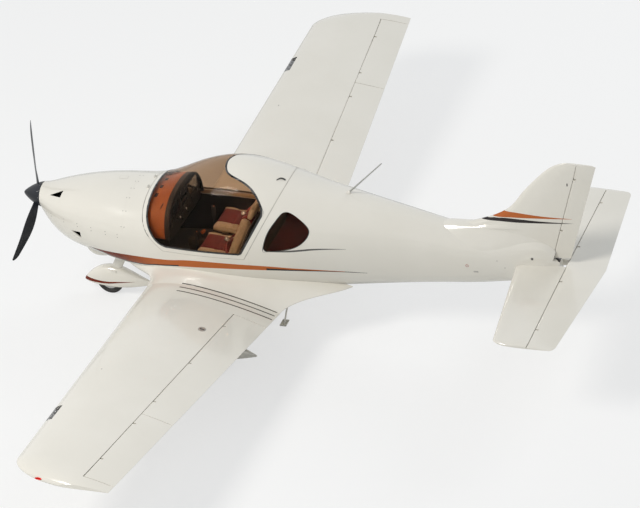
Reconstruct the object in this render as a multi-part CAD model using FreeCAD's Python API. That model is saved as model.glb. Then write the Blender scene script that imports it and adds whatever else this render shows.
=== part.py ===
import FreeCAD, Part
import math
import os
from FreeCAD import Placement, Rotation, Vector

# Two-seat low-wing ultralight aircraft, millimetres, +X aft, +Y starboard, +Z up.
# Stations run aft from the spinner's tip, heights run up from the thrust line.
# The origin is on the ground, midway between the spinner's tip and the elevator.

doc = FreeCAD.newDocument("ultralight")
sheet = doc.addObject("Spreadsheet::Sheet", "sizes")
next_row = 1


def add_sizes(values):
    global next_row
    for alias, value in values.items():
        sheet.set("A%d" % next_row, alias)
        sheet.set("B%d" % next_row, str(value))
        sheet.setAlias("B%d" % next_row, alias)
        next_row += 1


# Hull sections: station, half width, top, bottom, height of the widest line,
# and how square the upper and lower quarters are (2 is an ellipse).
SECTIONS = {
    "nose_ring": (243, 146, 140, -146, 0, 2.0, 2.0),
    "cowl_lip": (340, 215, 152, -305, -30, 2.0, 2.1),
    "cowl_front": (500, 300, 195, -440, -60, 2.1, 2.2),
    "cowl_middle": (800, 400, 260, -510, -100, 2.2, 2.4),
    "cowl_rear": (1200, 490, 294, -563, -130, 2.3, 2.6),
    "screen_foot": (1570, 547, 334, -592, -140, 2.2, 2.7),
    "screen_middle": (1950, 575, 514, -618, -130, 2.1, 2.8),
    "roof_front": (2400, 575, 684, -640, -120, 2.1, 2.8),
    "roof_rear": (2900, 526, 674, -650, -100, 2.1, 2.6),
    "deck_front": (3400, 436, 540, -640, -70, 2.1, 2.4),
    "boom_front": (4000, 322, 407, -578, -45, 2.1, 2.3),
    "boom_middle": (4700, 222, 262, -492, -35, 2.0, 2.2),
    "boom_rear": (5400, 148, 160, -398, -70, 2.0, 2.0),
    "tail_post": (5985, 66, -5, -300, -150, 2.0, 2.0),
}
FIELDS = ("station", "half_width", "top", "bottom", "waist", "crown", "keel")
for name, row in SECTIONS.items():
    add_sizes({"%s_%s" % (name, field): value for field, value in zip(FIELDS, row)})

add_sizes({
    "thrust_height": 1180,
    "seam_gap": 7.2,
    "seat_gap": 0.3,
    "hull_wall": 18,
    "cowl_wall": 10,
    "glass_wall": 6,
    "cowl_seam_station": 1360,
    "cowl_split_height": -70,
    "inlet_depth": 60,
    "panel_gap": 0.5,
    "hull_joint_station": 2780,
    "firewall_wall": 12,
    # spinner and propeller
    "spinner_length": 235,
    "spinner_radius": 140,
    "propeller_radius": 860,
    "propeller_station": 178,
    "blade_chord": 118,
    "blade_angle": 86,
    "drive_radius": 38,
    # engine
    "engine_station": 520,
    "engine_length": 520,
    "engine_width": 420,
    "engine_height": 330,
    "engine_top": 95,
    "mount_tube_radius": 10,
    # canopy
    "canopy_front_station": 1562,
    "sill_height": -148,
    "canopy_rear_foot": 2730,
    "canopy_rear_head": 3149,
    "canopy_head_height": 600,
    "canopy_hinge_station": 1535,
    "canopy_hinge_height": 324,
    "canopy_ear_depth": 26,
    "canopy_hinge_spacing": 100,
    "canopy_arm_width": 8,
    "canopy_eye_radius": 8,
    "glass_margin": 45,
    "tongue_nose_station": 2452,
    "tongue_nose_half_width": 118,
    "tongue_rear_station": 2936,
    "tongue_rear_half_width": 372,
    # quarter windows
    "quarter_front_station": 2948,
    "quarter_foot_height": -42,
    "quarter_head_station": 3150,
    "quarter_head_height": 372,
    "quarter_rear_station": 3430,
    "quarter_rear_height": 195,
    # cabin
    "floor_height": -520,
    "floor_wall": 15,
    "panel_station": 1850,
    "panel_foot": -120,
    "glare_rear_station": 1885,
    "glare_half_width": 478,
    "glare_rise": 420,
    "glare_foot": -60,
    "glare_wall": 12,
    "panel_wall": 8,
    "bulkhead_wall": 15,
    "seat_width": 430,
    "seat_spacing": 490,
    "cushion_thickness": 110,
    "seat_front_station": 2120,
    "seat_rear_station": 2560,
    "seat_height": -330,
    "seat_back_length": 620,
    "seat_back_angle": 24,
    "bench_wall": 10,
    "console_width": 50,
    "console_height": 160,
    "stick_radius": 11,
    "stick_length": 300,
    "stick_station": 2040,
})
add_sizes({
    # wing
    "half_span": 4500,
    "wing_nose_station": 1660,
    "wing_tip_nose_station": 1772,
    "wing_root_chord": 1583,
    "wing_tip_chord": 1088,
    "wing_height": -594,
    "wing_rise": 450,
    "root_incidence": 4.5,
    "tip_incidence": 0.3,
    "root_thickness": 0.14,
    "tip_thickness": 0.12,
    "wing_camber": 0.025,
    "root_rib": 800,
    "tip_rib": 4150,
    "tip_rake": 880,
    "hinge_root_station": 2874,
    "hinge_tip_station": 2559,
    "flap_inner": 1100,
    "flap_outer": 3165,
    "aileron_outer": 4360,
    "surface_gap": 7,
    "bracket_width": 6,
    "bracket_radius": 10,
    "hinge_pin_radius": 4,
    "hinge_pin_length": 16,
    "running_gap": 0.05,
    "light_position": 3240,
    "light_width": 260,
    "tie_down_span": 2100,
    "tie_down_fraction": 0.38,
    "tie_down_boss": 24,
    "tie_down_radius": 4.3,
    "tie_down_depth": 25,
    "tie_down_stand": 4,
    # tail
    "tailplane_height": -146,
    "tailplane_nose_station": 5520,
    "tailplane_tip_nose_station": 5682,
    "elevator_hinge_station": 6071,
    "elevator_chord": 379,
    "elevator_tip_chord": 258,
    "tailplane_half_span": 1442,
    "tailplane_rib": 1362,
    "tailplane_thickness": 0.095,
    "fin_thickness": 0.105,
    "fin_height": 1100,
    "fin_foot_end": 5990,
    "rudder_foot_height": -45,
    "rudder_foot_hinge": 5920,
    "rudder_head_hinge": 6233,
    "rudder_foot_chord": 170,
    "rudder_head_chord": 182,
    # gear
    "main_axle_station": 2450,
    "main_track": 2090,
    "main_tyre_radius": 175,
    "main_tyre_width": 105,
    "rim_radius": 88,
    "axle_radius": 16,
    "leg_root_station": 2400,
    "leg_root_half_width": 260,
    "leg_chord": 150,
    "leg_thickness": 34,
    "nose_axle_station": 860,
    "nose_tyre_radius": 150,
    "nose_tyre_width": 95,
    "leg_top_station": 1206,
    "leg_top_height": -380,
    "socket_length": 100,
    "socket_wall": 12,
    "strut_radius": 24,
    "leg_fairing_chord": 122,
    "leg_fairing_width": 50,
    "spat_wall": 5,
    "main_spat_nose": 330,
    "main_spat_tail": 510,
    "nose_spat_nose": 300,
    "nose_spat_tail": 520,
    "spat_half_width": 85,
    "spat_clearance": 14,
    "spat_drop": 48,
    "spat_headroom": 45,
    # small pieces
    "step_station": 3120,
    "step_radius": 9,
    "step_top": -574.2,
    "aerial_station": 3716,
    "aerial_length": 620,
    "aerial_base_radius": 24,
    "whip_radius": 6,
    "exhaust_station": 950,
    "exhaust_side": 140,
    "exhaust_length": 410,
    "exhaust_radius": 26,
})
doc.recompute()


def size(alias):
    return float(sheet.get(alias))


END_STATION = size("elevator_hinge_station") + size("elevator_chord")


def at(station, side, height):
    return Vector(station - END_STATION / 2, side, height + size("thrust_height"))


def piece(node, shape):
    feature = doc.addObject("Part::Feature", node)
    feature.Label = node
    feature.Shape = shape
    return feature


def closed_curve(points):
    curve = Part.BSplineCurve()
    curve.interpolate(points, PeriodicFlag=True)
    return Part.Wire([curve.toShape()])


def open_curve(points):
    curve = Part.BSplineCurve()
    curve.interpolate(points)
    return curve.toShape()


def largest(shape):
    return max(shape.Solids, key=lambda solid: solid.Volume)


def mirrored(shape):
    return shape.mirror(Vector(0, 0, 0), Vector(0, 1, 0))


def pair(right, left=None):
    return Part.makeCompound([largest(right), largest(left or mirrored(right))])


def block(station, side, height, length, width, depth):
    return Part.makeBox(length, width, depth, at(station, side, height))


# Hull: one smooth loft, drawn in again by the wall for the inside
SECTION_POINTS = 28


def hull_section(name, inset):
    station, width, top, bottom, waist, crown, keel = [
        size("%s_%s" % (name, field)) for field in FIELDS]
    points = []
    for step in range(SECTION_POINTS):
        angle = 2 * math.pi * step / SECTION_POINTS
        across, up = math.cos(angle), math.sin(angle)
        power = crown if up >= 0 else keel
        reach = (top - waist if up >= 0 else waist - bottom) - inset
        side = (width - inset) * math.copysign(abs(across) ** (2 / power), across)
        rise = reach * math.copysign(abs(up) ** (2 / power), up)
        points.append(at(station, side, waist + rise))
    return closed_curve(points)


def hull(inset):
    wires = [hull_section(name, inset) for name in SECTIONS]
    return Part.makeLoft(wires, True, False)


FAR = 3000
hull_outside = hull(0)
hull_seat = hull(-size("seat_gap"))
hull_inside = hull(size("hull_wall"))
cowl_inside = hull(size("cowl_wall"))


def stations(first, last):
    return block(first, -FAR, -FAR, last - first, 2 * FAR, 2 * FAR)


def side_prism(wire):
    return Part.Face(wire).extrude(Vector(0, 2 * FAR, 0))


# Canopy outline, seen from the side
def canopy_outline(inset):
    front = size("canopy_front_station") + inset
    sill = size("sill_height") + inset
    head_station = size("canopy_rear_head")
    foot_station = size("canopy_rear_foot")
    rise = size("canopy_head_height") - size("sill_height")
    run = head_station - foot_station
    lean = run / rise
    shift = inset * math.hypot(run, rise) / rise
    rear_foot = foot_station - shift + lean * inset
    above = size("canopy_head_height") + 400
    rear_head = rear_foot + lean * (above - sill)
    screen = open_curve([
        at(front - 5, -FAR, above),
        at(front - 2, -FAR, 430),
        at(front, -FAR, 300),
        at(front + 18, -FAR, 170),
        at(front + 70, -FAR, 50),
        at(front + 150, -FAR, -50),
        at(front + 260, -FAR, sill)])
    sill_line = Part.makeLine(at(front + 260, -FAR, sill), at(rear_foot, -FAR, sill))
    rear_line = Part.makeLine(at(rear_foot, -FAR, sill), at(rear_head, -FAR, above))
    top_line = Part.makeLine(at(rear_head, -FAR, above), at(front - 5, -FAR, above))
    return Part.Wire([screen, sill_line, rear_line, top_line])


def canopy_tongue():
    nose = size("tongue_nose_station")
    half = size("tongue_nose_half_width")
    rear = size("tongue_rear_station")
    rear_half = size("tongue_rear_half_width")
    side = [(nose, 0), (nose + 18, half * 0.8), (nose + 60, half * 1.45),
            (nose + 150, half * 1.85), (rear - 120, rear_half * 0.80),
            (rear - 20, rear_half), (rear + 60, rear_half + 80)]
    right = open_curve([at(s, y, 0) for s, y in side])
    left = open_curve([at(s, -y, 0) for s, y in side])
    far_right = at(side[-1][0] + 900, side[-1][1], 0)
    far_left = at(side[-1][0] + 900, -side[-1][1], 0)
    end_right = at(side[-1][0], side[-1][1], 0)
    end_left = at(side[-1][0], -side[-1][1], 0)
    wire = Part.Wire(Part.__sortEdges__([
        right, left, Part.makeLine(end_right, far_right),
        Part.makeLine(far_right, far_left), Part.makeLine(far_left, end_left)]))
    return Part.Face(wire).extrude(Vector(0, 0, FAR))


def quarter_prism(inset):
    front = size("quarter_front_station") + inset
    foot = size("quarter_foot_height") + inset
    head = size("quarter_head_station")
    head_height = size("quarter_head_height") - inset
    rear = size("quarter_rear_station") - inset
    rear_height = size("quarter_rear_height")
    points = [at(front, 0, foot), at(front + 70, 0, foot + 5), at(rear - 60, 0, foot + 120),
              at(rear, 0, rear_height), at(rear - 90, 0, head_height - 70),
              at(head, 0, head_height), at(head - 60, 0, head_height - 60),
              at(front - 5, 0, foot + 60)]
    return Part.Face(closed_curve(points)).extrude(Vector(0, FAR, 0))


canopy_hole = side_prism(canopy_outline(0))
canopy_body = side_prism(canopy_outline(size("seam_gap")))
glass_prism = side_prism(canopy_outline(size("seam_gap") + size("glass_margin")))
tongue_prism = canopy_tongue()
glass_side = glass_prism.cut(tongue_prism)

shell = hull_outside.cut(hull_inside)
canopy_shell = shell.common(canopy_body)
glass_shell = hull_outside.cut(hull(size("glass_wall")))
piece("canopy_glass", largest(glass_shell.common(glass_side)))

# Canopy hinges: each arm of the frame reaches forward into a slot of the front hull,
# where a pin of the hull passes through its eye
canopy_frame = largest(canopy_shell.cut(glass_side))
hinge_slots, hinge_pins = [], []
arm_width = size("canopy_arm_width")
knuckle = size("canopy_eye_radius")
clear = size("surface_gap")
for side in (1, -1):
    eye_place = at(size("canopy_hinge_station"), side * size("canopy_hinge_spacing"),
                   size("canopy_hinge_height"))
    across = Vector(0, 1, 0)
    eye = Part.makeCylinder(knuckle, arm_width, eye_place - across * arm_width / 2, across)
    reach = size("canopy_front_station") + size("seam_gap") + 30 - size("canopy_hinge_station")
    arm = Part.makeBox(reach, arm_width, 12, eye_place - Vector(0, arm_width / 2, 9))
    slot_width = arm_width + 2 * clear
    back = knuckle + clear
    hinge_slots.append(Part.makeBox(reach + back, slot_width, 120,
                                    eye_place - Vector(back, slot_width / 2, 60)))
    ear_width = size("hinge_pin_length")
    pin_length = slot_width + 2 * ear_width
    pin_start = eye_place - across * pin_length / 2
    hinge_pins.append(Part.makeCylinder(size("hinge_pin_radius"), pin_length, pin_start, across))
    for ear_side in (slot_width / 2, -slot_width / 2 - ear_width):
        ear_start = eye_place + across * ear_side
        hinge_pins.append(Part.makeCylinder(knuckle, ear_width, ear_start, across))
        hinge_pins.append(Part.makeBox(2 * knuckle, ear_width, size("canopy_ear_depth"),
                                       ear_start - Vector(knuckle, 0, size("canopy_ear_depth"))))
    bore = Part.makeCylinder(size("hinge_pin_radius") + size("running_gap"), slot_width,
                             eye_place - across * slot_width / 2, across)
    canopy_frame = canopy_frame.fuse([eye, arm]).cut(bore)
piece("canopy_frame", largest(canopy_frame))

# Wing sections
def airfoil(chord, thickness, camber, count=9):
    upper, lower = [], []
    for step in range(count + 1):
        x = 0.5 * (1 - math.cos(math.pi * step / count))
        half = 5 * thickness * (0.2969 * math.sqrt(x) - 0.1260 * x - 0.3516 * x ** 2
                                + 0.2843 * x ** 3 - 0.1015 * x ** 4)
        peak = 0.4
        if x < peak:
            mean = camber / peak ** 2 * (2 * peak * x - x * x)
        else:
            mean = camber / (1 - peak) ** 2 * (1 - 2 * peak + 2 * peak * x - x * x)
        upper.append((x * chord, (mean + half) * chord))
        lower.append((x * chord, (mean - half) * chord))
    return list(reversed(upper)) + lower[1:]


def profile(points):
    return Part.Wire([open_curve(points), Part.makeLine(points[-1], points[0])])


def between(start, end, share):
    return start + (end - start) * share


def wing_nose(span):
    share = span / size("half_span")
    return between(size("wing_nose_station"), size("wing_tip_nose_station"), share)


def wing_chord(span):
    share = span / size("half_span")
    return between(size("wing_root_chord"), size("wing_tip_chord"), share)


def wing_points(span, nose, chord, thickness, incidence, lift=0.0):
    tilt = math.radians(incidence)
    points = []
    for x, z in airfoil(chord, thickness, size("wing_camber")):
        x -= chord / 4
        along = x * math.cos(tilt) + z * math.sin(tilt)
        up = z * math.cos(tilt) - x * math.sin(tilt)
        points.append(at(nose + chord / 4 + along, span, size("wing_height") + up + lift))
    return points


def wing_rib(span):
    share = span / size("half_span")
    thickness = between(size("root_thickness"), size("tip_thickness"), share)
    incidence = between(size("root_incidence"), size("tip_incidence"), share)
    nose, chord = wing_nose(span), wing_chord(span)
    tip = size("tip_rib")
    if span > tip:
        past = (span - tip) / (size("half_span") * 1.005 - tip)
        rounding = math.sqrt(max(0.0, 1 - past * past))
        sweep = size("tip_rake") * (1 - rounding)
        thickness = thickness * rounding * chord / (chord - sweep)
        nose, chord = nose + sweep, chord - sweep
    return wing_points(span, nose, chord, thickness, incidence)


panel = Part.makeLoft([profile(wing_rib(size("root_rib"))),
                       profile(wing_rib(size("tip_rib")))], True, True)
tip_length = size("half_span") - size("tip_rib")
tip = Part.makeLoft([profile(wing_rib(size("tip_rib") + tip_length * share))
                     for share in (0, 0.35, 0.62, 0.83, 0.95, 1.0)], True, False)


def hinge_place(span):
    share = span / size("half_span")
    thickness = between(size("root_thickness"), size("tip_thickness"), share)
    incidence = between(size("root_incidence"), size("tip_incidence"), share)
    nose, chord = wing_nose(span), wing_chord(span)
    x = (between(size("hinge_root_station"), size("hinge_tip_station"), share) - nose) / chord
    half = 5 * thickness * (0.2969 * math.sqrt(x) - 0.1260 * x - 0.3516 * x ** 2
                            + 0.2843 * x ** 3 - 0.1015 * x ** 4)
    mean = size("wing_camber") / 0.36 * (0.2 + 0.8 * x - x * x)
    tilt = math.radians(incidence)
    along, up = (x - 0.25) * chord, mean * chord
    place = at(nose + chord / 4 + along * math.cos(tilt) + up * math.sin(tilt), span,
               size("wing_height") + up * math.cos(tilt) - along * math.sin(tilt))
    return place, half * chord


def hinge_tool(start, end, start_radius, end_radius, gap, reach):
    # The space behind a hinge line, with the round nose ahead of it
    run = end - start
    length = run.Length
    along = run.normalize()
    up = Vector(0, 0, 1) if abs(along.z) < 0.7 else Vector(0, 1, 0)
    aft = along.cross(up).normalize()
    up = aft.cross(along)
    if aft.x < 0:
        aft, up = -aft, -up
    base = start - along * gap
    nose = Part.makeCone(start_radius + gap, end_radius + gap, length + 2 * gap, base, along)
    corner = base - up * reach / 2
    slab = Part.makeBox(reach, length + 2 * gap, reach)
    slab.Placement = Placement(corner, Rotation(aft, along, up, "XYZ"))
    if slab.BoundBox.Center.x < base.x:
        raise ValueError("the slab lies ahead of the hinge")
    return nose.fuse(slab)


def wing_tool(inner, outer, gap):
    start, start_radius = hinge_place(inner)
    end, end_radius = hinge_place(outer)
    return hinge_tool(start, end, start_radius, end_radius, gap, 700)



def hinged(fixed, moving, start, end, places, radius):
    # Brackets with pins: each arm stands in a notch of the moving surface
    run = end - start
    along = Vector(run).normalize()
    up = Vector(0, 0, 1) if abs(along.z) < 0.7 else Vector(0, 1, 0)
    aft = along.cross(up).normalize()
    if aft.x < 0:
        aft = -aft
    up = aft.cross(along)
    gap = size("surface_gap")
    arm_width = size("bracket_width")
    notch_width = arm_width + 2 * gap
    reach = radius + gap
    for share in places:
        centre = start + run * share
        turn = Rotation(aft, along, up, "XYZ")
        notch = Part.makeBox(reach + size("bracket_radius") + gap, notch_width, 6 * reach)
        notch.Placement = Placement(
            centre - along * notch_width / 2 - aft * reach - up * 3 * reach, turn)
        arm = Part.makeBox(reach + 40, arm_width, 2 * size("bracket_radius"))
        arm.Placement = Placement(centre - along * arm_width / 2 - aft * (reach + 40)
                                  - up * size("bracket_radius"), turn)
        eye = Part.makeCylinder(size("bracket_radius"), arm_width,
                                centre - along * arm_width / 2, along)
        pin_length = notch_width + 2 * size("hinge_pin_length")
        pin_start = centre - along * pin_length / 2
        pin = Part.makeCylinder(size("hinge_pin_radius"), pin_length, pin_start, along)
        bore = Part.makeCylinder(size("hinge_pin_radius") + size("running_gap"),
                                 pin_length + 2 * gap, pin_start - along * gap, along)
        moving = moving.cut(notch).cut(bore)
        fixed = fixed.fuse([arm, eye, pin])
    return fixed, moving


gap = size("surface_gap")
slot = wing_tool(size("flap_inner"), size("aileron_outer"), gap)
flap = panel.common(wing_tool(size("flap_inner"), size("flap_outer") - gap / 2, 0))
aileron_tool = wing_tool(size("flap_outer") + gap / 2, size("aileron_outer"), 0)
aileron = panel.common(aileron_tool).fuse(tip.common(aileron_tool)).removeSplitter()
light_box = block(wing_nose(size("light_position")) - 200, size("light_position"),
                  size("wing_height") - 300, 290, size("light_width"), 600)
landing_light = panel.common(light_box)


def wing_surface(span, x, side):
    share = span / size("half_span")
    thickness = between(size("root_thickness"), size("tip_thickness"), share)
    tilt = math.radians(between(size("root_incidence"), size("tip_incidence"), share))
    chord = wing_chord(span)
    half = 5 * thickness * (0.2969 * math.sqrt(x) - 0.1260 * x - 0.3516 * x ** 2
                            + 0.2843 * x ** 3 - 0.1015 * x ** 4)
    mean = size("wing_camber") / 0.16 * (0.8 * x - x * x)
    along, up = (x - 0.25) * chord, (mean + side * half) * chord
    return at(wing_nose(span) + chord / 4 + along * math.cos(tilt) + up * math.sin(tilt), span,
              size("wing_height") + up * math.cos(tilt) - along * math.sin(tilt))


tie_down = wing_surface(size("tie_down_span"), size("tie_down_fraction"), -1)
tie_down -= Vector(0, 0, size("tie_down_stand"))
boss = Part.makeCylinder(size("tie_down_boss"), 40, tie_down, Vector(0, 0, 1))
socket = Part.makeCylinder(size("tie_down_radius"), size("tie_down_depth"), tie_down,
                           Vector(0, 0, 1))
wing = panel.cut(slot).cut(light_box).fuse(boss).cut(socket)
for moving_node, inner, outer, places in (
        ("flap", size("flap_inner"), size("flap_outer") - gap / 2, (0.12, 0.5, 0.88)),
        ("aileron", size("flap_outer") + gap / 2, size("aileron_outer"), (0.15, 0.72))):
    start, start_radius = hinge_place(inner)
    end, end_radius = hinge_place(outer)
    if moving_node == "flap":
        wing, flap = hinged(wing, flap, start, end, places, start_radius)
    else:
        wing, aileron = hinged(wing, aileron, start, end, places, start_radius)
wing_tip = tip.cut(slot)

# Root fairing, from the first rib to the hull
fairing_ribs = []
for span, ahead, behind, thickness, incidence, lift in (
        (800, 0, 0, 0, 0, 0), (700, 8, 40, 15, 0.9, 12), (560, 60, 175, 50, 1.8, 35),
        (420, 280, 380, 95, 2.4, 60), (250, 400, 560, 135, 2.6, 80)):
    reach = size("root_rib") * span / 800
    share = reach / size("half_span")
    chord = wing_chord(reach) + ahead + behind
    ratio = between(size("root_thickness"), size("tip_thickness"), share)
    ratio = (ratio * wing_chord(reach) + thickness) / chord
    tilt = between(size("root_incidence"), size("tip_incidence"), share) - incidence
    fairing_ribs.append(profile(wing_points(
        reach, wing_nose(reach) - ahead, chord, ratio, tilt, lift)))
fairing = Part.makeLoft(fairing_ribs, True, False)

rise = math.degrees(math.atan2(size("wing_rise"), size("half_span")))


def raised(shape):
    lifted = shape.copy()
    lifted.rotate(at(0, 0, size("wing_height")), Vector(1, 0, 0), rise)
    return lifted


fairing = raised(fairing)
for node, shape in (("wing", raised(wing)), ("flap", raised(flap)),
                    ("aileron", raised(aileron))):
    piece(node + "_right", largest(shape))
    piece(node + "_left", largest(mirrored(shape)))
piece("wing_tips", pair(raised(wing_tip)))
piece("landing_lights", pair(raised(landing_light)))
piece("root_fairings", pair(fairing.cut(hull_seat), mirrored(fairing).cut(hull_seat)))

# Tailplane and elevator
def tail_rib(span):
    rib = size("tailplane_rib")
    share = min(span / rib, 1.0)
    nose = between(size("tailplane_nose_station"), size("tailplane_tip_nose_station"), share)
    chord = size("elevator_hinge_station") - nose + between(
        size("elevator_chord"), size("elevator_tip_chord"), share)
    thickness = size("tailplane_thickness")
    if span > rib:
        past = (span - rib) / (size("tailplane_half_span") * 1.004 - rib)
        rounding = math.sqrt(max(0.0, 1 - past * past))
        sweep = 0.30 * chord * (1 - rounding)
        thickness = thickness * rounding * chord / (chord - 1.4 * sweep)
        nose, chord = nose + sweep, chord - 1.4 * sweep
    points = [at(nose + x, span, size("tailplane_height") + z)
              for x, z in airfoil(chord, thickness, 0.0)]
    return profile(points)


tail_tip = size("tailplane_half_span") - size("tailplane_rib")
half_tail = Part.makeLoft([tail_rib(0), tail_rib(size("tailplane_rib"))], True, True)
half_tail = half_tail.fuse(Part.makeLoft(
    [tail_rib(size("tailplane_rib") + tail_tip * share) for share in (0, 0.4, 0.75, 0.93, 1.0)],
    True, False))
tailplane = half_tail.fuse(mirrored(half_tail)).removeSplitter()


def symmetric_half(fraction, chord, thickness):
    x = fraction
    return chord * 5 * thickness * (0.2969 * math.sqrt(x) - 0.1260 * x - 0.3516 * x ** 2
                                    + 0.2843 * x ** 3 - 0.1015 * x ** 4)


middle_chord = END_STATION - size("tailplane_nose_station")
tip_chord = (size("elevator_hinge_station") + size("elevator_tip_chord")
             - size("tailplane_tip_nose_station"))
middle_radius = symmetric_half(1 - size("elevator_chord") / middle_chord,
                               middle_chord, size("tailplane_thickness"))
tip_radius = symmetric_half(1 - size("elevator_tip_chord") / tip_chord,
                            tip_chord, size("tailplane_thickness"))


def elevator_tool(gap):
    tools = []
    for side in (1, -1):
        tools.append(hinge_tool(
            at(size("elevator_hinge_station"), 0, size("tailplane_height")),
            at(size("elevator_hinge_station"), side * size("tailplane_half_span"),
               size("tailplane_height")),
            middle_radius, tip_radius, gap, 600))
    return tools[0].fuse(tools[1])


elevator = tailplane.common(elevator_tool(0))
behind_tail = block(size("tail_post_station") - 60, -size("tail_post_half_width"), -FAR, FAR,
                    2 * size("tail_post_half_width"), FAR + 200)
stabilizer = tailplane.cut(elevator_tool(size("surface_gap"))).cut(hull_seat)
stabilizer = stabilizer.cut(behind_tail)
for side in (1, -1):
    stabilizer, elevator = hinged(
        stabilizer, elevator,
        at(size("elevator_hinge_station"), 0, size("tailplane_height")),
        at(size("elevator_hinge_station"), side * size("tailplane_half_span"),
           size("tailplane_height")), (0.22, 0.8), middle_radius)
piece("elevator", largest(elevator))
halves = [max([s for s in stabilizer.Solids if s.CenterOfMass.y * side > 0],
              key=lambda s: s.Volume) for side in (1, -1)]
piece("stabilizer", Part.makeCompound(halves))

# Fin and rudder
top = size("fin_height")
foot_height = size("rudder_foot_height")
foot_rear = size("rudder_foot_hinge") + size("rudder_foot_chord")
head_rear = size("rudder_head_hinge") + size("rudder_head_chord")
FIN_NOSE = ((0.0, -1190), (0.20, -1165), (0.275, -985), (0.345, -800), (0.48, -590), (0.64, -500),
            (0.79, -404), (0.90, -318), (0.965, -238), (1.0, -145))


def fin_rib(share, ahead):
    height = between(foot_height, top, share)
    hinge = between(size("rudder_foot_hinge"), size("rudder_head_hinge"), share)
    rear = between(foot_rear, head_rear, share)
    nose = hinge + ahead
    chord = rear - nose
    thickness = size("fin_thickness") * (1 if share < 0.9 else 1 - 3 * (share - 0.9))
    points = [at(nose + x, y, height) for x, y in airfoil(chord, thickness, 0.0)]
    return profile(points)


fin_whole = Part.makeLoft([fin_rib(share, ahead) for share, ahead in FIN_NOSE], True, False)


def rudder_tool(gap):
    radius = []
    for share, ahead, rear in ((0, FIN_NOSE[0][1], foot_rear), (1, FIN_NOSE[-1][1], head_rear)):
        hinge = between(size("rudder_foot_hinge"), size("rudder_head_hinge"), share)
        chord = rear - hinge - ahead
        radius.append(symmetric_half(-ahead / chord, chord, size("fin_thickness")))
    run = at(size("rudder_head_hinge"), 0, top) - at(size("rudder_foot_hinge"), 0, foot_height)
    beyond = run * 0.03
    return hinge_tool(at(size("rudder_foot_hinge"), 0, foot_height),
                      at(size("rudder_head_hinge"), 0, top) + beyond,
                      radius[0], radius[1], gap, 700)


# The fin's foot widens into the rear hull and runs forward along it
FIN_FOOT = ((-60, 4400, 195), (90, 4400, 158), (175, 4490, 116), (250, 4800, 72), (335, 5240, 45))
foot_ribs = []
for height, nose, half in FIN_FOOT:
    chord = size("fin_foot_end") - nose
    foot_ribs.append(profile([at(nose + x, y, height)
                              for x, y in airfoil(chord, 2 * half / chord, 0.0)]))
fin_foot = Part.makeLoft(foot_ribs, True, False)
rudder_space = rudder_tool(size("surface_gap"))
rudder = fin_whole.common(rudder_tool(0))
fin = fin_whole.fuse(fin_foot).cut(rudder_space).cut(hull_seat)
fin, rudder = hinged(fin, rudder, at(size("rudder_foot_hinge"), 0, foot_height),
                     at(size("rudder_head_hinge"), 0, top), (0.3, 0.85), 30)
piece("rudder", largest(rudder))
piece("fin", largest(fin))

# Hull pieces
seam = size("cowl_seam_station")
joint = size("hull_joint_station")
nose_end = size("nose_ring_station")
split_gap = size("panel_gap")
cowl = hull_outside.cut(cowl_inside).common(stations(nose_end - 1, seam - split_gap / 2))
split = size("cowl_split_height")
upper_half = block(0, -FAR, split + split_gap / 2, 2 * FAR, 2 * FAR, FAR)
lower_half = block(0, -FAR, split - split_gap / 2 - FAR, 2 * FAR, 2 * FAR, FAR)
scoop = Part.makeLoft([
    closed_curve([at(station, width * math.cos(a), height + depth * math.sin(a))
                  for a in [math.pi * k / 6 for k in range(12)]])
    for station, width, height, depth in (
        (700, 120, -470, 60), (760, 190, -500, 100), (1000, 200, -520, 95),
        (1340, 60, -540, 40))], True, False)


# Sunk air inlets: three-cornered openings through the cowl
def inlet(corners, inward):
    shape = Part.Face(Part.makePolygon([at(*corner) - inward * size("inlet_depth")
                                        for corner in corners + corners[:1]]))
    opening = shape.extrude(inward * 2 * size("inlet_depth"))
    return opening.fuse(mirrored(opening))


upper_inlets = inlet([(394, -165, 112), (557, -152, 181), (539, -221, 135)],
                     Vector(0, 0.72, -0.69))
lower_inlets = inlet([(681, -361, -168), (804, -389, -235), (805, -400, -151)],
                     Vector(0, 0.97, 0.24))
piece("cowl_upper", largest(cowl.common(upper_half).cut(upper_inlets)))
nose_slot = block(800, -60, -FAR, 420, 120, FAR - 300)
lower = cowl.common(lower_half).cut(lower_inlets).fuse(scoop.cut(cowl_inside))
engine_bottom = size("engine_top") - size("engine_height")
exhaust_start = at(size("exhaust_station"), size("exhaust_side"),
                   engine_bottom - size("seat_gap"))
exhaust_run = Vector(0.3, 0.05, -1)
exhaust_hole = Part.makeCylinder(size("exhaust_radius") + size("seat_gap"),
                                 2 * size("exhaust_length"), exhaust_start, exhaust_run)
piece("cowl_lower", largest(lower.removeSplitter().cut(nose_slot).cut(exhaust_hole)))

front = shell.common(stations(seam + split_gap / 2, joint - split_gap / 2)).cut(canopy_hole)
piece("fuselage_front", largest(front.cut(hinge_slots).fuse(hinge_pins)))
rear = hull_outside.cut(hull_inside.common(stations(joint - 10, 5900)))
rear = rear.common(stations(joint + split_gap / 2, size("tail_post_station")))
rear = rear.cut(canopy_hole).cut(rudder_space)
window_cut = quarter_prism(0)
rear = rear.cut(window_cut).cut(mirrored(window_cut))
piece("fuselage_rear", largest(rear))
piece("quarter_windows", pair(glass_shell.common(quarter_prism(0.2))))
inside = hull(size("hull_wall") + size("seat_gap"))
firewall = inside.common(stations(seam + 4, seam + 4 + size("firewall_wall")))
piece("firewall", largest(firewall))

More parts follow.
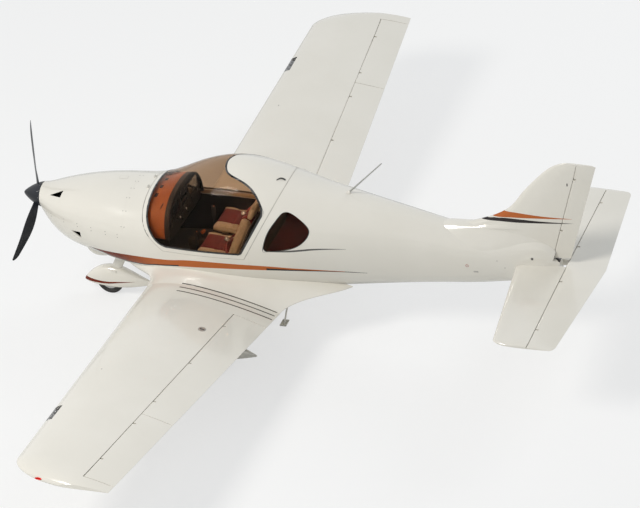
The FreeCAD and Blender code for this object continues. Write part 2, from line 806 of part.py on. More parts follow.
# Cabin
floor = inside.common(block(seam + 20, -FAR, size("floor_height"), joint - seam + 120, 2 * FAR,
                            size("floor_wall")))
piece("cabin_floor", largest(floor))
above_floor = block(0, -FAR, size("floor_height") + size("floor_wall") + 0.3,
                    2 * FAR, 2 * FAR, FAR)
bulkhead = stations(joint + 60, joint + 60 + size("bulkhead_wall"))
below_head = block(0, -FAR, -FAR, 2 * FAR, 2 * FAR, FAR + 150)
bulkhead = inside.common(bulkhead).common(above_floor).common(below_head)
piece("seat_bulkhead", largest(bulkhead))

# Glare shield: an arched deck from the firewall to the instrument panel
GLARE = ((0, 0.86, 0.70), (0.36, 0.95, 0.84), (0.68, 0.985, 0.93), (1, 1, 1))
glare_start = seam + 4 + size("firewall_wall") + size("seat_gap")


def glare_loft(inset):
    wires = []
    for along, wide, high in GLARE:
        place = between(glare_start, size("glare_rear_station"), along)
        half = size("glare_half_width") * wide - inset
        rise = size("glare_rise") * high - inset
        points = []
        for step in range(13):
            angle = math.pi * step / 12
            side = half * math.copysign(abs(math.cos(angle)) ** 0.83, math.cos(angle))
            points.append(at(place, side, size("glare_foot") + rise * math.sin(angle) ** 0.83))
        wires.append(profile(points))
    return Part.makeLoft(wires, True, False)


glare_foot_cut = block(0, -FAR, size("glare_foot") - 10 - FAR, 2 * FAR, 2 * FAR, FAR + 11)
glare = glare_loft(0).cut(glare_loft(size("glare_wall"))).cut(glare_foot_cut)
piece("glare_shield", largest(glare))
under_glare = glare_loft(size("glare_wall") + size("seat_gap"))
panel_slice = stations(size("panel_station"), size("panel_station") + size("panel_wall"))
lower_half_width = size("glare_half_width") - size("glare_wall") - 12
lower_panel = block(size("panel_station"), -lower_half_width, size("panel_foot"),
                    size("panel_wall"), 2 * lower_half_width,
                    size("glare_foot") - size("panel_foot") + 5)
piece("instrument_panel", largest(under_glare.common(panel_slice).fuse(lower_panel)))
half_seat = size("seat_width") / 2
lean = math.radians(size("seat_back_angle"))
for node, side in (("seat_right", size("seat_spacing") / 2),
                   ("seat_left", -size("seat_spacing") / 2)):
    thick = size("cushion_thickness")
    low, front_edge, rear_edge = size("seat_height"), size("seat_front_station"), size(
        "seat_rear_station")
    climb = size("seat_back_length")
    outline = [(front_edge, low + 40), (rear_edge, low), (
        rear_edge + climb * math.sin(lean), low + climb * math.cos(lean)), (
        rear_edge + climb * math.sin(lean) - thick * math.cos(lean),
        low + climb * math.cos(lean) + thick * math.sin(lean)), (
        rear_edge - thick, low + thick + 10), (front_edge, low + thick + 50)]
    wire = Part.makePolygon([at(s, side - half_seat, h) for s, h in outline + outline[:1]])
    piece(node, Part.Face(wire).extrude(Vector(0, 2 * half_seat, 0)))
thick = size("bench_wall")
drop = size("seat_gap")
low, front_edge, rear_edge = size("seat_height"), size("seat_front_station"), size(
    "seat_rear_station")
climb = size("seat_back_length")
floor_top = size("floor_height") + size("floor_wall") + size("seat_gap")
head = (rear_edge + climb * math.sin(lean) + 2 * drop, low + climb * math.cos(lean))
upper_line = [(front_edge, floor_top), (front_edge, low + 40 - 2 * drop),
              (rear_edge + drop, low - 2 * drop), head]
lower_line = [(head[0] + thick, head[1]), (rear_edge + drop + thick * 1.3, low - thick),
              (front_edge + thick, low + 40 - thick), (front_edge + thick, floor_top)]
points = [at(s, -FAR, h) for s, h in upper_line + lower_line]
bench = Part.Face(Part.makePolygon(points + points[:1])).extrude(Vector(0, 2 * FAR, 0))
piece("seat_bench", largest(bench.common(inside)))
piece("centre_console", block(size("panel_station") + 20, -size("console_width") / 2,
                              floor_top, front_edge - size("panel_station") - 30,
                              size("console_width"), size("console_height")))
stick = Part.makeCylinder(size("stick_radius"), size("stick_length"),
                          at(size("stick_station"), size("seat_spacing") / 2, floor_top - 5),
                          Vector(0.12, 0, 1))
piece("control_sticks", pair(stick.common(above_floor)))

# Engine and propeller
piece("engine", block(size("engine_station"), -size("engine_width") / 2,
                      size("engine_top") - size("engine_height"), size("engine_length"),
                      size("engine_width"), size("engine_height")))
engine_rear = size("engine_station") + size("engine_length") + size("seat_gap")
tube_length = seam + 4 - size("seat_gap") - engine_rear
tubes = []
for side in (-1, 1):
    for height in (-40, 60):
        tubes.append(Part.makeCylinder(size("mount_tube_radius"), tube_length, at(
            engine_rear, side * (size("engine_width") / 2 - 30),
            size("engine_top") - size("engine_height") / 2 + height), Vector(1, 0, 0)))
for side in (-1, 1):
    tubes.append(Part.makeCylinder(size("mount_tube_radius") * 0.8, 100, at(
        engine_rear + tube_length / 2, side * (size("engine_width") / 2 - 30),
        size("engine_top") - size("engine_height") / 2 - 40), Vector(0, 0, 1)))
tubes.append(Part.makeCylinder(size("mount_tube_radius") * 0.8, size("engine_width") - 60, at(
    engine_rear + tube_length / 2, -size("engine_width") / 2 + 30,
    size("engine_top") - size("engine_height") / 2 - 40), Vector(0, 1, 0)))
piece("engine_mount", largest(tubes[0].fuse(tubes[1:])))
SPINNER = ((0, 0), (0.05, 0.13), (0.16, 0.30), (0.38, 0.56), (0.68, 0.83), (1, 1))
spinner_curve = open_curve([at(size("spinner_length") * along, 0, size("spinner_radius") * out)
                            for along, out in SPINNER])
spinner_face = Part.Face(Part.Wire([
    spinner_curve,
    Part.makeLine(at(size("spinner_length"), 0, size("spinner_radius")),
                  at(size("spinner_length"), 0, 0)),
    Part.makeLine(at(size("spinner_length"), 0, 0), at(0, 0, 0))]))
spinner = spinner_face.revolve(at(0, 0, 0), Vector(1, 0, 0), 360)
blades = []
BLADE = ((0.10, 0.42, 62, 0.0), (0.20, 0.62, 46, -6), (0.40, 1.0, 30, -14), (0.62, 0.96, 21, -10),
         (0.82, 0.72, 16, 8), (0.95, 0.44, 14, 30), (1.0, 0.16, 13, 48))
for turn in range(3):
    wires = []
    for share, chord_share, pitch, sweep in BLADE:
        chord = size("blade_chord") * chord_share
        angle = math.radians(pitch)
        points = []
        for x, z in airfoil(chord, 0.13, 0.03, 5):
            x, z = x - chord / 2 - sweep, z
            points.append(Vector(x * math.sin(angle) - z * math.cos(angle),
                                 -x * math.cos(angle) - z * math.sin(angle),
                                 size("propeller_radius") * share))
        wires.append(profile(points))
    blade = Part.makeLoft(wires, True, False)
    blade.rotate(Vector(0, 0, 0), Vector(1, 0, 0), size("blade_angle") - 90 + 120 * turn)
    blade.translate(at(size("propeller_station"), 0, 0))
    blades.append(blade.cut(spinner))
piece("propeller_blades", Part.makeCompound(
    [largest(b) for b in blades]))
drive = Part.makeCylinder(size("drive_radius"),
                          size("engine_station") - size("spinner_length") - size("seat_gap"),
                          at(size("spinner_length"), 0, 0), Vector(1, 0, 0))
piece("spinner", spinner)
piece("drive_flange", drive)

# Wheels
ground = -size("thrust_height")


def wheel(station, side, radius, width):
    rim = size("rim_radius")
    axle = at(station, side, ground + radius)
    across = Vector(0, 1, 0)
    start = axle - across * width / 2
    solid = Part.makeCylinder(radius, width, start, across)
    solid = solid.makeFillet(width * 0.42, [e for e in solid.Edges
                                            if isinstance(e.Curve, Part.Circle)])
    tyre = solid.cut(Part.makeCylinder(rim, width, start, across))
    disc = Part.makeCylinder(rim - size("seat_gap"), width * 0.8, axle - across * width * 0.4,
                             across)
    disc = disc.cut(Part.makeCylinder(size("axle_radius") + size("running_gap"), width,
                                      start, across))
    return tyre, disc


def spat(station, side, axle_height, nose, tail, radius, width):
    def form(inset):
        wires = []
        for share, half, rise_share, drop_share, lift in (
                (0.0, 0.08, 0.06, 0.08, -0.05), (0.04, 0.32, 0.28, 0.35, -0.04),
                (0.14, 0.66, 0.66, 0.72, -0.02), (0.28, 0.92, 0.95, 0.96, 0.0),
                (0.42, 1.0, 1.03, 1.0, 0.0), (0.58, 0.92, 0.90, 0.94, 0.0),
                (0.78, 0.56, 0.50, 0.66, 0.02), (0.93, 0.22, 0.20, 0.3, 0.04),
                (1.0, 0.05, 0.06, 0.08, 0.05)):
            place = station - nose + (nose + tail) * share
            points = []
            rise = radius + size("spat_headroom")
            for k in range(16):
                across, up = math.cos(math.pi * k / 8), math.sin(math.pi * k / 8)
                deep = rise * rise_share if up > 0 else size("spat_drop") * drop_share
                reach = max(size("spat_half_width") * half - inset, 1.0)
                deep = max(deep - inset, 1.0)
                points.append(at(
                    place, side + reach * math.copysign(abs(across) ** 0.72, across),
                    axle_height + lift * 300 + deep * math.copysign(abs(up) ** 0.72, up)))
            wires.append(closed_curve(points))
        return Part.makeLoft(wires, True, False)
    outer = form(0)
    clear = 12
    hollow = form(size("spat_wall")).common(
        stations(station - radius - 3 * clear, station + radius + 3 * clear))
    slot_cut = block(station - radius - clear, side - width / 2 - clear, -FAR,
                     2 * (radius + clear), width + 2 * clear, FAR + axle_height)
    return outer.cut(hollow).cut(slot_cut)


half_track = size("main_track") / 2
main_height = ground + size("main_tyre_radius")
tyre, rim = wheel(size("main_axle_station"), half_track, size("main_tyre_radius"),
                  size("main_tyre_width"))
hub = half_track - size("spat_half_width") - 8
axle_end = half_track + size("main_tyre_width") / 2 + 4
axle = Part.makeCylinder(size("axle_radius"), axle_end - hub,
                         at(size("main_axle_station"), hub, main_height), Vector(0, 1, 0))
hole = Part.makeCylinder(size("axle_radius") + size("seat_gap"), 400,
                         at(size("main_axle_station"), half_track - 200, main_height),
                         Vector(0, 1, 0))
main_spat = spat(size("main_axle_station"), half_track, main_height, size("main_spat_nose"),
                 size("main_spat_tail"), size("main_tyre_radius"), size("main_tyre_width"))
main_spat = largest(main_spat.cut(hole))
wires = []
for share, thickness_share in ((0, 1.0), (0.5, 0.85), (1.0, 0.72)):
    reach = between(size("leg_root_half_width"), hub, share)
    height = between(size("roof_front_bottom") + 60, main_height, share ** 1.15)
    place = between(size("leg_root_station"), size("main_axle_station"), share)
    chord = size("leg_chord") * thickness_share
    deep = size("leg_thickness") * thickness_share / chord
    points = [at(place - chord / 2 + x, reach, height + z)
              for x, z in airfoil(chord, deep, 0, 6)]
    wires.append(profile(points))
leg = largest(Part.makeLoft(wires, True, False).cut(hull_seat).fuse(axle))
for label, shape in (("main_%s_tyre", tyre), ("main_%s_rim", rim),
                     ("main_spat_%s", main_spat), ("main_leg_%s", leg)):
    piece(label % "right", shape)
    piece(label % "left", mirrored(shape))

# Nose gear
nose_height = ground + size("nose_tyre_radius")
tyre, rim = wheel(size("nose_axle_station"), 0, size("nose_tyre_radius"),
                  size("nose_tyre_width"))
piece("nose_tyre", tyre)
piece("nose_rim", rim)
top_place = at(size("leg_top_station"), 0, size("leg_top_height"))
axle_place = at(size("nose_axle_station"), 0, nose_height)
line = axle_place - top_place
above_axle = size("nose_tyre_radius") + size("spat_headroom") - size("spat_clearance")
fork_top = axle_place - Vector(line).normalize() * above_axle
strut = Part.makeCylinder(size("strut_radius"), (fork_top - top_place).Length, top_place, line)
arm_side = size("nose_tyre_width") / 2 + 12
arms = []
for side in (1, -1):
    low_end = Vector(axle_place.x, side * arm_side, axle_place.z)
    high_end = Vector(fork_top.x, side * arm_side, fork_top.z)
    arm = Part.makeCylinder(9, (low_end - high_end).Length, high_end, low_end - high_end)
    arms.append(arm)
bridge = Part.makeBox(56, 2 * arm_side + 22, 24)
bridge.translate(Vector(fork_top.x - 28, -arm_side - 11, fork_top.z - 12))
nose_axle = Part.makeCylinder(size("axle_radius"), 2 * arm_side + 8,
                              axle_place - Vector(0, arm_side + 4, 0), Vector(0, 1, 0))
fairing_top = top_place + Vector(line).normalize() * (size("socket_length") + 40)
oval = Part.Ellipse(fairing_top, size("leg_fairing_chord") / 2, size("leg_fairing_width") / 2)
leg_fairing = Part.Face(Part.Wire([oval.toShape()])).extrude(fork_top - fairing_top)
nose_leg = strut.fuse([bridge, nose_axle, leg_fairing] + arms)
piece("nose_leg", largest(nose_leg))
socket_radius = size("strut_radius") + size("running_gap")
socket_run = Vector(line).normalize()
socket_start = top_place - socket_run * size("socket_wall")
socket = Part.makeCylinder(socket_radius + size("socket_wall"),
                           size("socket_length") + size("socket_wall"), socket_start, socket_run)
web = Part.makeBox(FAR, 24, 80, at(size("leg_top_station"), -12,
                                   size("leg_top_height") - 60))
web = web.common(stations(0, seam + 4 - size("seat_gap")))
socket_bore = Part.makeCylinder(socket_radius, size("socket_length") + 300,
                                top_place - socket_run * size("seat_gap"), socket_run)
piece("nose_leg_socket", largest(socket.fuse(web).cut(socket_bore)))
nose_shape = spat(size("nose_axle_station"), 0, nose_height, size("nose_spat_nose"),
                  size("nose_spat_tail"), size("nose_tyre_radius"), size("nose_tyre_width"))
piece("nose_spat", largest(nose_shape.cut(nose_leg)))

# Steps, aerial, exhaust, lights, probe
root_place = at(size("step_station"), 270, -500)
foot_place = at(size("step_station") - 50, 500, -930)
step = Part.makeCylinder(size("step_radius"), (foot_place - root_place).Length, root_place,
                         foot_place - root_place)
pad = Part.makeBox(70, 110, 12)
pad.translate(foot_place + Vector(-35, -55, -6))
above_skin = block(size("step_station") - 100, 200, size("step_top"), 200, 300, 300)
step = step.fuse(pad).cut(above_skin)
piece("steps", pair(step.cut(hull_seat), mirrored(step).cut(hull_seat)))
aerial_foot = at(size("aerial_station"), 0, 424)
whip_end = aerial_foot + Vector(0.7, 0, 0.71) * size("aerial_length")


def ring(centre, radius):
    corners = [centre + Vector(radius * math.cos(math.pi * k / 6),
                               radius * math.sin(math.pi * k / 6), 0) for k in range(13)]
    return Part.makePolygon(corners)


whip = Part.makeLoft([ring(aerial_foot, size("whip_radius")),
                      ring(whip_end, size("whip_radius") / 3)], True, True)
base = Part.makeLoft([ring(aerial_foot - Vector(0, 0, 30), size("aerial_base_radius")),
                      ring(aerial_foot + Vector(25, 0, 70), size("whip_radius"))], True, True)
piece("aerial", largest(whip.fuse(base).cut(hull_seat)))
above_exhaust = block(0, -FAR, engine_bottom - size("seat_gap"), 2 * FAR, 2 * FAR, FAR)
exhaust = Part.makeCylinder(size("exhaust_radius"), size("exhaust_length") + 60,
                            exhaust_start - exhaust_run * 60, exhaust_run)
bore = Part.makeCylinder(size("exhaust_radius") - 3, size("exhaust_length") + 120,
                         exhaust_start - exhaust_run * 60, exhaust_run)
piece("exhaust", largest(exhaust.cut(bore).cut(above_exhaust)))

doc.recompute()
os.makedirs("parts", exist_ok=True)
kept = [item for item in doc.Objects if hasattr(item, "Shape")]
for item in kept:
    if "Invalid" in item.State or "Error" in item.State:
        raise ValueError("failed object " + item.Label)
    if item.Shape.isNull() or not item.Shape.isValid():
        raise ValueError("bad shape " + item.Label)
for item in kept:
    item.Shape.exportStep("parts/%s.step" % item.Label)
    print(item.Label, len(item.Shape.Solids), round(item.Shape.Volume / 1e6, 2))
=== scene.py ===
import math
import bpy
from mathutils import Matrix, Vector


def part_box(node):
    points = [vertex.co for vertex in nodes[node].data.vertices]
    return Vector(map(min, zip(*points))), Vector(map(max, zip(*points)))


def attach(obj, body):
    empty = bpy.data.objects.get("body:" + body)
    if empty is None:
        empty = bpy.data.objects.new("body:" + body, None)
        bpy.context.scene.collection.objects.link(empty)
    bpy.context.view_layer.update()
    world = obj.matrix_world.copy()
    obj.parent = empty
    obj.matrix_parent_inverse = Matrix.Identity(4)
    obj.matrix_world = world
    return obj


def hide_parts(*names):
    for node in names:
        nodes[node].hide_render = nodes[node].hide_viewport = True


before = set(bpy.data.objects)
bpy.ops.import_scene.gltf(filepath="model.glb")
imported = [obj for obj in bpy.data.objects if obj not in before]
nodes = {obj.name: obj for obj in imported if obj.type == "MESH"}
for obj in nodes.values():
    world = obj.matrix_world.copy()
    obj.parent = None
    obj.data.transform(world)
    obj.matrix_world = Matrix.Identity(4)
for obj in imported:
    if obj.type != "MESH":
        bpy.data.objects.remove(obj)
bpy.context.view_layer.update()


# Camera. The aircraft is seen from its port side and from above, through a long lens.
# Stations run aft from the spinner's tip, heights from the thrust line.
NOSE_TIP, THRUST_LINE = -3.225, 1.18
SIDES = (("left", -1), ("right", 1))


def at(station, side, height):
    return Vector((station + NOSE_TIP, side, height + THRUST_LINE))


camera_data = bpy.data.cameras.new("camera")
camera_data.lens = 185.46
camera_data.sensor_width = 36
camera_data.clip_end = 200
camera = bpy.data.objects.new("camera", camera_data)
bpy.context.collection.objects.link(camera)
camera.matrix_world = Matrix((
    (0.9352762, -0.1110545, 0.3360436, 11.672),
    (0.3390683, 0.5533187, -0.7608357, -26.152),
    (-0.1014450, 0.8255333, 0.5551609, 19.904),
    (0, 0, 0, 1)))
bpy.context.scene.camera = camera
bpy.context.scene.view_settings.view_transform = "Standard"


# Tools that the sections below share.
def mode(name):
    bpy.ops.object.mode_set(mode=name)


def deselect():
    # Object mode, with nothing chosen
    if bpy.context.object and bpy.context.object.mode != "OBJECT":
        mode("OBJECT")
    bpy.ops.object.select_all(action="DESELECT")


def pick(thing):
    # Object mode, with this one piece chosen and active
    deselect()
    bpy.context.view_layer.objects.active = thing
    thing.select_set(True)


def begin(add, location=(0, 0, 0), **settings):
    # A new plain shape from one of the operators that add them
    deselect()
    add(location=location, **settings)
    return bpy.context.object


def bake():
    # Works the chosen piece's place, turn and size into its mesh
    bpy.ops.object.transform_apply(location=True, rotation=True, scale=True)


def shader(name):
    material = bpy.data.materials.new(name)
    material.use_nodes = True
    tree = material.node_tree
    return material, tree, tree.nodes["Principled BSDF"]


def link(tree, source, target):
    tree.links.new(source, target)


def tune(node, **values):
    # Sets a node's sockets by their names
    for title, value in values.items():
        node.inputs[title.replace("_", " ")].default_value = value
    return node


def feed(tree, sockets, values):
    # Sets each socket to a plain value, or links it to the socket that gives one
    for socket, value in zip(sockets, values):
        if isinstance(value, bpy.types.NodeSocket):
            link(tree, value, socket)
        else:
            socket.default_value = value


def maths(tree, operation, first, second=0.0):
    node = tree.nodes.new("ShaderNodeMath")
    node.operation = operation
    feed(tree, node.inputs, (first, second))
    return node.outputs[0]


# Floor and light: a pale studio floor that runs off to white, one wide soft lamp
# high on the port side, a weaker one behind, and an even pale sky.
floor = begin(bpy.ops.mesh.primitive_plane_add, size=160)
floor.name = "floor"
floor_paint, tree, body = shader("floor_paint")
tune(body, Base_Color=(0.80, 0.80, 0.79, 1), Roughness=0.9)
seen = tree.nodes.new("ShaderNodeLightPath")
bright = tune(tree.nodes.new("ShaderNodeEmission"), Color=(1, 1, 1, 1))
mixed = tree.nodes.new("ShaderNodeMixShader")
link(tree, maths(tree, "MULTIPLY", seen.outputs["Is Camera Ray"], 0.62), mixed.inputs[0])
link(tree, body.outputs[0], mixed.inputs[1])
link(tree, bright.outputs[0], mixed.inputs[2])
link(tree, mixed.outputs[0], tree.nodes["Material Output"].inputs[0])
floor.data.materials.append(floor_paint)

world = bpy.data.worlds.new("studio")
bpy.context.scene.world = world
world.use_nodes = True
tree = world.node_tree
sky = tune(tree.nodes["Background"], Color=(0.90, 0.95, 1.0, 1), Strength=0.46)
white = tune(tree.nodes.new("ShaderNodeBackground"), Color=(1, 1, 1, 1), Strength=1.0)
seen = tree.nodes.new("ShaderNodeLightPath")
straight = maths(tree, "MAXIMUM", seen.outputs["Is Camera Ray"], seen.outputs["Is Glossy Ray"])
straight = maths(tree, "MAXIMUM", straight, seen.outputs["Is Transmission Ray"])
choice = tree.nodes.new("ShaderNodeMixShader")
link(tree, straight, choice.inputs[0])
link(tree, sky.outputs[0], choice.inputs[1])
link(tree, white.outputs[0], choice.inputs[2])
link(tree, choice.outputs[0], tree.nodes["World Output"].inputs[0])


def lamp(name, place, aim, width, power, colour):
    data = bpy.data.lights.new(name, "AREA")
    data.shape = "DISK"
    data.size = width
    data.energy = power
    data.color = colour
    light = bpy.data.objects.new(name, data)
    bpy.context.collection.objects.link(light)
    light.location = place
    light.rotation_euler = (Vector(aim) - Vector(place)).to_track_quat("-Z", "Y").to_euler()


lamp("key_lamp", (-9, -12, 17), (0, 0, 1), 7, 2750, (1, 0.97, 0.92))
lamp("back_lamp", (10, 14, 12), (1, 0, 1), 9, 950, (0.93, 0.96, 1))


# White gelcoat over moulded composite: every skin of the aircraft. It is polished, a
# little uneven in tone, and waved by the cloth beneath it.
def group(name, inputs, outputs):
    made = bpy.data.node_groups.new(name, "ShaderNodeTree")
    for title, value in inputs:
        socket = made.interface.new_socket(title, in_out="INPUT", socket_type="NodeSocketFloat")
        socket.default_value = value
    for title in outputs:
        made.interface.new_socket(title, in_out="OUTPUT", socket_type="NodeSocketFloat")
    start = made.nodes.new("NodeGroupInput")
    end = made.nodes.new("NodeGroupOutput")
    return made, start, end


def vectors(tree, operation, first, second=(0, 0, 0)):
    node = tree.nodes.new("ShaderNodeVectorMath")
    node.operation = operation
    feed(tree, node.inputs, (first, second))
    return node.outputs["Value" if operation == "DOT_PRODUCT" else "Vector"]


def placed(tree):
    # Where the shaded point lies, in the frame that all pieces share
    return tree.nodes.new("ShaderNodeTexCoord").outputs["Object"]


def raise_by(tree, body, relief, strength, distance):
    # A fine relief that the light shows, without moving the surface
    raised = tune(tree.nodes.new("ShaderNodeBump"), Strength=strength, Distance=distance)
    link(tree, relief, raised.inputs["Height"])
    link(tree, raised.outputs[0], body.inputs["Normal"])


mottle, start, end = group("mottle", [("Scale", 3.0), ("Detail", 4.0)], ["Tone", "Fine"])
place = placed(mottle)
for output, factor in (("Tone", 1.0), ("Fine", 9.0)):
    noise = mottle.nodes.new("ShaderNodeTexNoise")
    link(mottle, maths(mottle, "MULTIPLY", start.outputs["Scale"], factor), noise.inputs["Scale"])
    link(mottle, start.outputs["Detail"], noise.inputs["Detail"])
    link(mottle, place, noise.inputs["Vector"])
    link(mottle, noise.outputs["Fac"], end.inputs[output])

band, start, end = group("band", [("Value", 0.0), ("Low", 0.0), ("High", 1.0)], ["Mask"])
over = maths(band, "GREATER_THAN", start.outputs["Value"], start.outputs["Low"])
under = maths(band, "LESS_THAN", start.outputs["Value"], start.outputs["High"])
link(band, maths(band, "MULTIPLY", over, under), end.inputs["Mask"])


def mixed_finish(name, light, dark, roughness, scale=3.0, spread=0.06, bump=0.0, bump_scale=60.0,
                 metallic=0.0, coat=0.0):
    # Colour and gloss wander between two close values, with a bump of its own scale
    material, tree, body = shader(name)
    tune(body, Metallic=metallic, Coat_Weight=coat, Coat_Roughness=0.06)
    tone = tree.nodes.new("ShaderNodeGroup")
    tone.node_tree = mottle
    tune(tone, Scale=scale)
    blend = tree.nodes.new("ShaderNodeValToRGB")
    blend.color_ramp.elements[0].position = 0.34
    blend.color_ramp.elements[0].color = (*dark, 1)
    blend.color_ramp.elements[1].position = 0.66
    blend.color_ramp.elements[1].color = (*light, 1)
    link(tree, tone.outputs["Tone"], blend.inputs[0])
    link(tree, blend.outputs[0], body.inputs["Base Color"])
    gloss = tune(tree.nodes.new("ShaderNodeMapRange"), To_Min=max(0.02, roughness - spread),
                 To_Max=min(1.0, roughness + spread))
    link(tree, tone.outputs["Fine"], gloss.inputs["Value"])
    link(tree, gloss.outputs[0], body.inputs["Roughness"])
    if bump:
        grain = tune(tree.nodes.new("ShaderNodeTexNoise"), Scale=bump_scale, Detail=3)
        link(tree, placed(tree), grain.inputs["Vector"])
        raise_by(tree, body, grain.outputs["Fac"], bump, 0.002)
    return material, tree, body, blend.outputs[0]


def finish(*recipe, **extras):
    # A finish that nothing more is painted over
    return mixed_finish(*recipe, **extras)[0]


def whereabouts(tree):
    # Station, distance from the centreline and height of the point that is shaded
    split = tree.nodes.new("ShaderNodeSeparateXYZ")
    link(tree, placed(tree), split.inputs[0])
    station = maths(tree, "SUBTRACT", split.outputs[0], NOSE_TIP)
    height = maths(tree, "SUBTRACT", split.outputs[2], THRUST_LINE)
    return station, maths(tree, "ABSOLUTE", split.outputs[1]), height


def edge_line(tree, along, points):
    # Where a painted edge runs: its height at each place along, from a few points of it
    starts, heights = [p[0] for p in points], [p[1] for p in points]
    low, high = min(heights) - 0.01, max(heights) + 0.01
    scaled = tune(tree.nodes.new("ShaderNodeMapRange"), From_Min=starts[0], From_Max=starts[-1])
    link(tree, along, scaled.inputs["Value"])
    curve = tree.nodes.new("ShaderNodeFloatCurve")
    line = curve.mapping.curves[0]
    for number, (place, height) in enumerate(points):
        x = (place - starts[0]) / (starts[-1] - starts[0])
        y = (height - low) / (high - low)
        if number in (0, len(points) - 1):
            line.points[0 if number == 0 else -1].location = (x, y)
        else:
            line.points.new(x, y)
    curve.mapping.update()
    link(tree, scaled.outputs[0], curve.inputs["Value"])
    return maths(tree, "ADD", maths(tree, "MULTIPLY", curve.outputs[0], high - low), low)


def within(tree, value, low, high):
    node = tree.nodes.new("ShaderNodeGroup")
    node.node_tree = band
    feed(tree, node.inputs, (value, low, high))
    return node.outputs[0]


def paint(tree, body, under, mask, colour):
    # A colour laid over what the skin already has, where the mask is 1
    mix = tree.nodes.new("ShaderNodeMix")
    mix.data_type = "RGBA"
    link(tree, mask, mix.inputs["Factor"])
    link(tree, under, mix.inputs[6])
    mix.inputs[7].default_value = (*colour, 1)
    link(tree, mix.outputs[2], body.inputs["Base Color"])
    return mix.outputs[2]


def dress(material, *names):
    for name in names:
        data = nodes[name].data
        data.materials.clear()
        data.materials.append(material)


def film(tree, body, mask):
    # The stripes are cut from vinyl film, which mirrors less than the gelcoat round it
    bare = maths(tree, "SUBTRACT", 1.0, mask)
    bare.node.use_clamp = True
    link(tree, maths(tree, "MULTIPLY", bare, 0.5), body.inputs["Coat Weight"])
    link(tree, maths(tree, "ADD", maths(tree, "MULTIPLY", bare, 0.38), 0.12),
         body.inputs["Specular IOR Level"])


CREAM, CREAM_SHADE = (0.765, 0.735, 0.665), (0.735, 0.705, 0.632)
ORANGE, BRICK, SLATE = (0.465, 0.130, 0.038), (0.155, 0.024, 0.011), (0.036, 0.031, 0.031)


def gelcoat(name):
    return mixed_finish(name, CREAM, CREAM_SHADE, 0.20, scale=1.4, bump=0.05, bump_scale=5.0,
                        coat=0.5)


plain_gelcoat = gelcoat("plain_gelcoat")[0]
dress(plain_gelcoat, "flap_left", "flap_right", "aileron_left", "aileron_right", "elevator",
      "stabilizer", "nose_leg", "main_leg_left", "main_leg_right",
      "steps", "wing_tips")


# Hull paint: the same gelcoat, with an orange stripe that turns brick towards the nose as painted
# shade and thins to a grey point aft, a fine grey line under the quarter window that is a painted
# crease shadow, and charcoal lining on the faces that look into the cabin.
STRIPE_TOP = ((0.86, -0.350), (1.13, -0.320), (1.51, -0.278), (1.83, -0.256), (2.24, -0.212),
              (2.71, -0.212), (3.30, -0.254), (3.98, -0.312))
STRIPE_FOOT = ((0.86, -0.353), (1.03, -0.380), (1.12, -0.408), (1.28, -0.424), (1.47, -0.414),
               (1.71, -0.366), (2.23, -0.298), (2.70, -0.275), (3.29, -0.284), (3.98, -0.316))
# Edges of the fine grey line under the quarter window: a painted crease shadow
CREASE_SHADE_TOP = ((3.01, -0.034), (3.19, -0.022), (3.33, -0.009), (3.46, 0.003), (3.59, 0.005),
            (3.80, -0.001))
CREASE_SHADE_FOOT = ((3.01, -0.040), (3.19, -0.041), (3.33, -0.030), (3.46, -0.016), (3.59, -0.008),
             (3.80, -0.003))
CABIN_MIDDLE = 1.13


def lined(tree, body, under, colour):
    # The faces that look in towards the cabin get their lining's colour
    facing = tree.nodes.new("ShaderNodeNewGeometry").outputs["Normal"]
    centred = vectors(tree, "SUBTRACT", placed(tree), (0, 0, CABIN_MIDDLE))
    outward = vectors(tree, "NORMALIZE", vectors(tree, "MULTIPLY", centred, (0, 1, 1)))
    facing_out = vectors(tree, "DOT_PRODUCT", facing, outward)
    paint(tree, body, under, maths(tree, "LESS_THAN", facing_out, -0.3), colour)


hull_paint, tree, body, tone = gelcoat("hull_paint")
station, side, height = whereabouts(tree)
top, foot = edge_line(tree, station, STRIPE_TOP), edge_line(tree, station, STRIPE_FOOT)
stripe = maths(tree, "MULTIPLY", within(tree, height, foot, top),
               within(tree, station, STRIPE_TOP[0][0], STRIPE_TOP[-1][0]))
tone = paint(tree, body, tone, stripe, ORANGE)
# Painted shade: the stripe is blended to brick over its front, darkest at the nose
nose_painted_shade = maths(tree, "DIVIDE", maths(tree, "SUBTRACT", 1.70, station), 0.45)
nose_painted_shade.node.use_clamp = True
tone = paint(tree, body, tone, maths(tree, "MULTIPLY", stripe, nose_painted_shade), BRICK)
edging = maths(tree, "MULTIPLY", within(tree, height, foot, maths(tree, "ADD", foot, 0.019)),
               maths(tree, "LESS_THAN", station, 1.98))
middle = maths(tree, "MULTIPLY", maths(tree, "ADD", foot, top), 0.5)
tail_line = maths(tree, "MULTIPLY", within(tree, height, foot, middle),
                  maths(tree, "GREATER_THAN", station, 2.95))
point_line = maths(tree, "GREATER_THAN", station, 3.75)
dark = maths(tree, "MAXIMUM", maths(tree, "MAXIMUM", edging, tail_line), point_line)
tone = paint(tree, body, tone, maths(tree, "MULTIPLY", stripe, dark), SLATE)
# The fine grey line under the quarter window is painted crease shadow, not a stripe of the livery
crease_shade_top, crease_shade_foot = edge_line(tree, station, CREASE_SHADE_TOP), edge_line(tree, station, CREASE_SHADE_FOOT)
crease_shade = maths(tree, "MULTIPLY", within(tree, height, crease_shade_foot, crease_shade_top),
                  within(tree, station, CREASE_SHADE_TOP[0][0], CREASE_SHADE_TOP[-1][0]))
tone = paint(tree, body, tone, crease_shade, (0.10, 0.095, 0.09))
film(tree, body, stripe)
lined(tree, body, tone, (0.030, 0.027, 0.027))
dress(hull_paint, "cowl_upper", "cowl_lower", "fuselage_front", "fuselage_rear")

canopy_paint, tree, body, tone = gelcoat("canopy_paint")
lined(tree, body, tone, (0.56, 0.43, 0.28))
dress(canopy_paint, "canopy_frame")


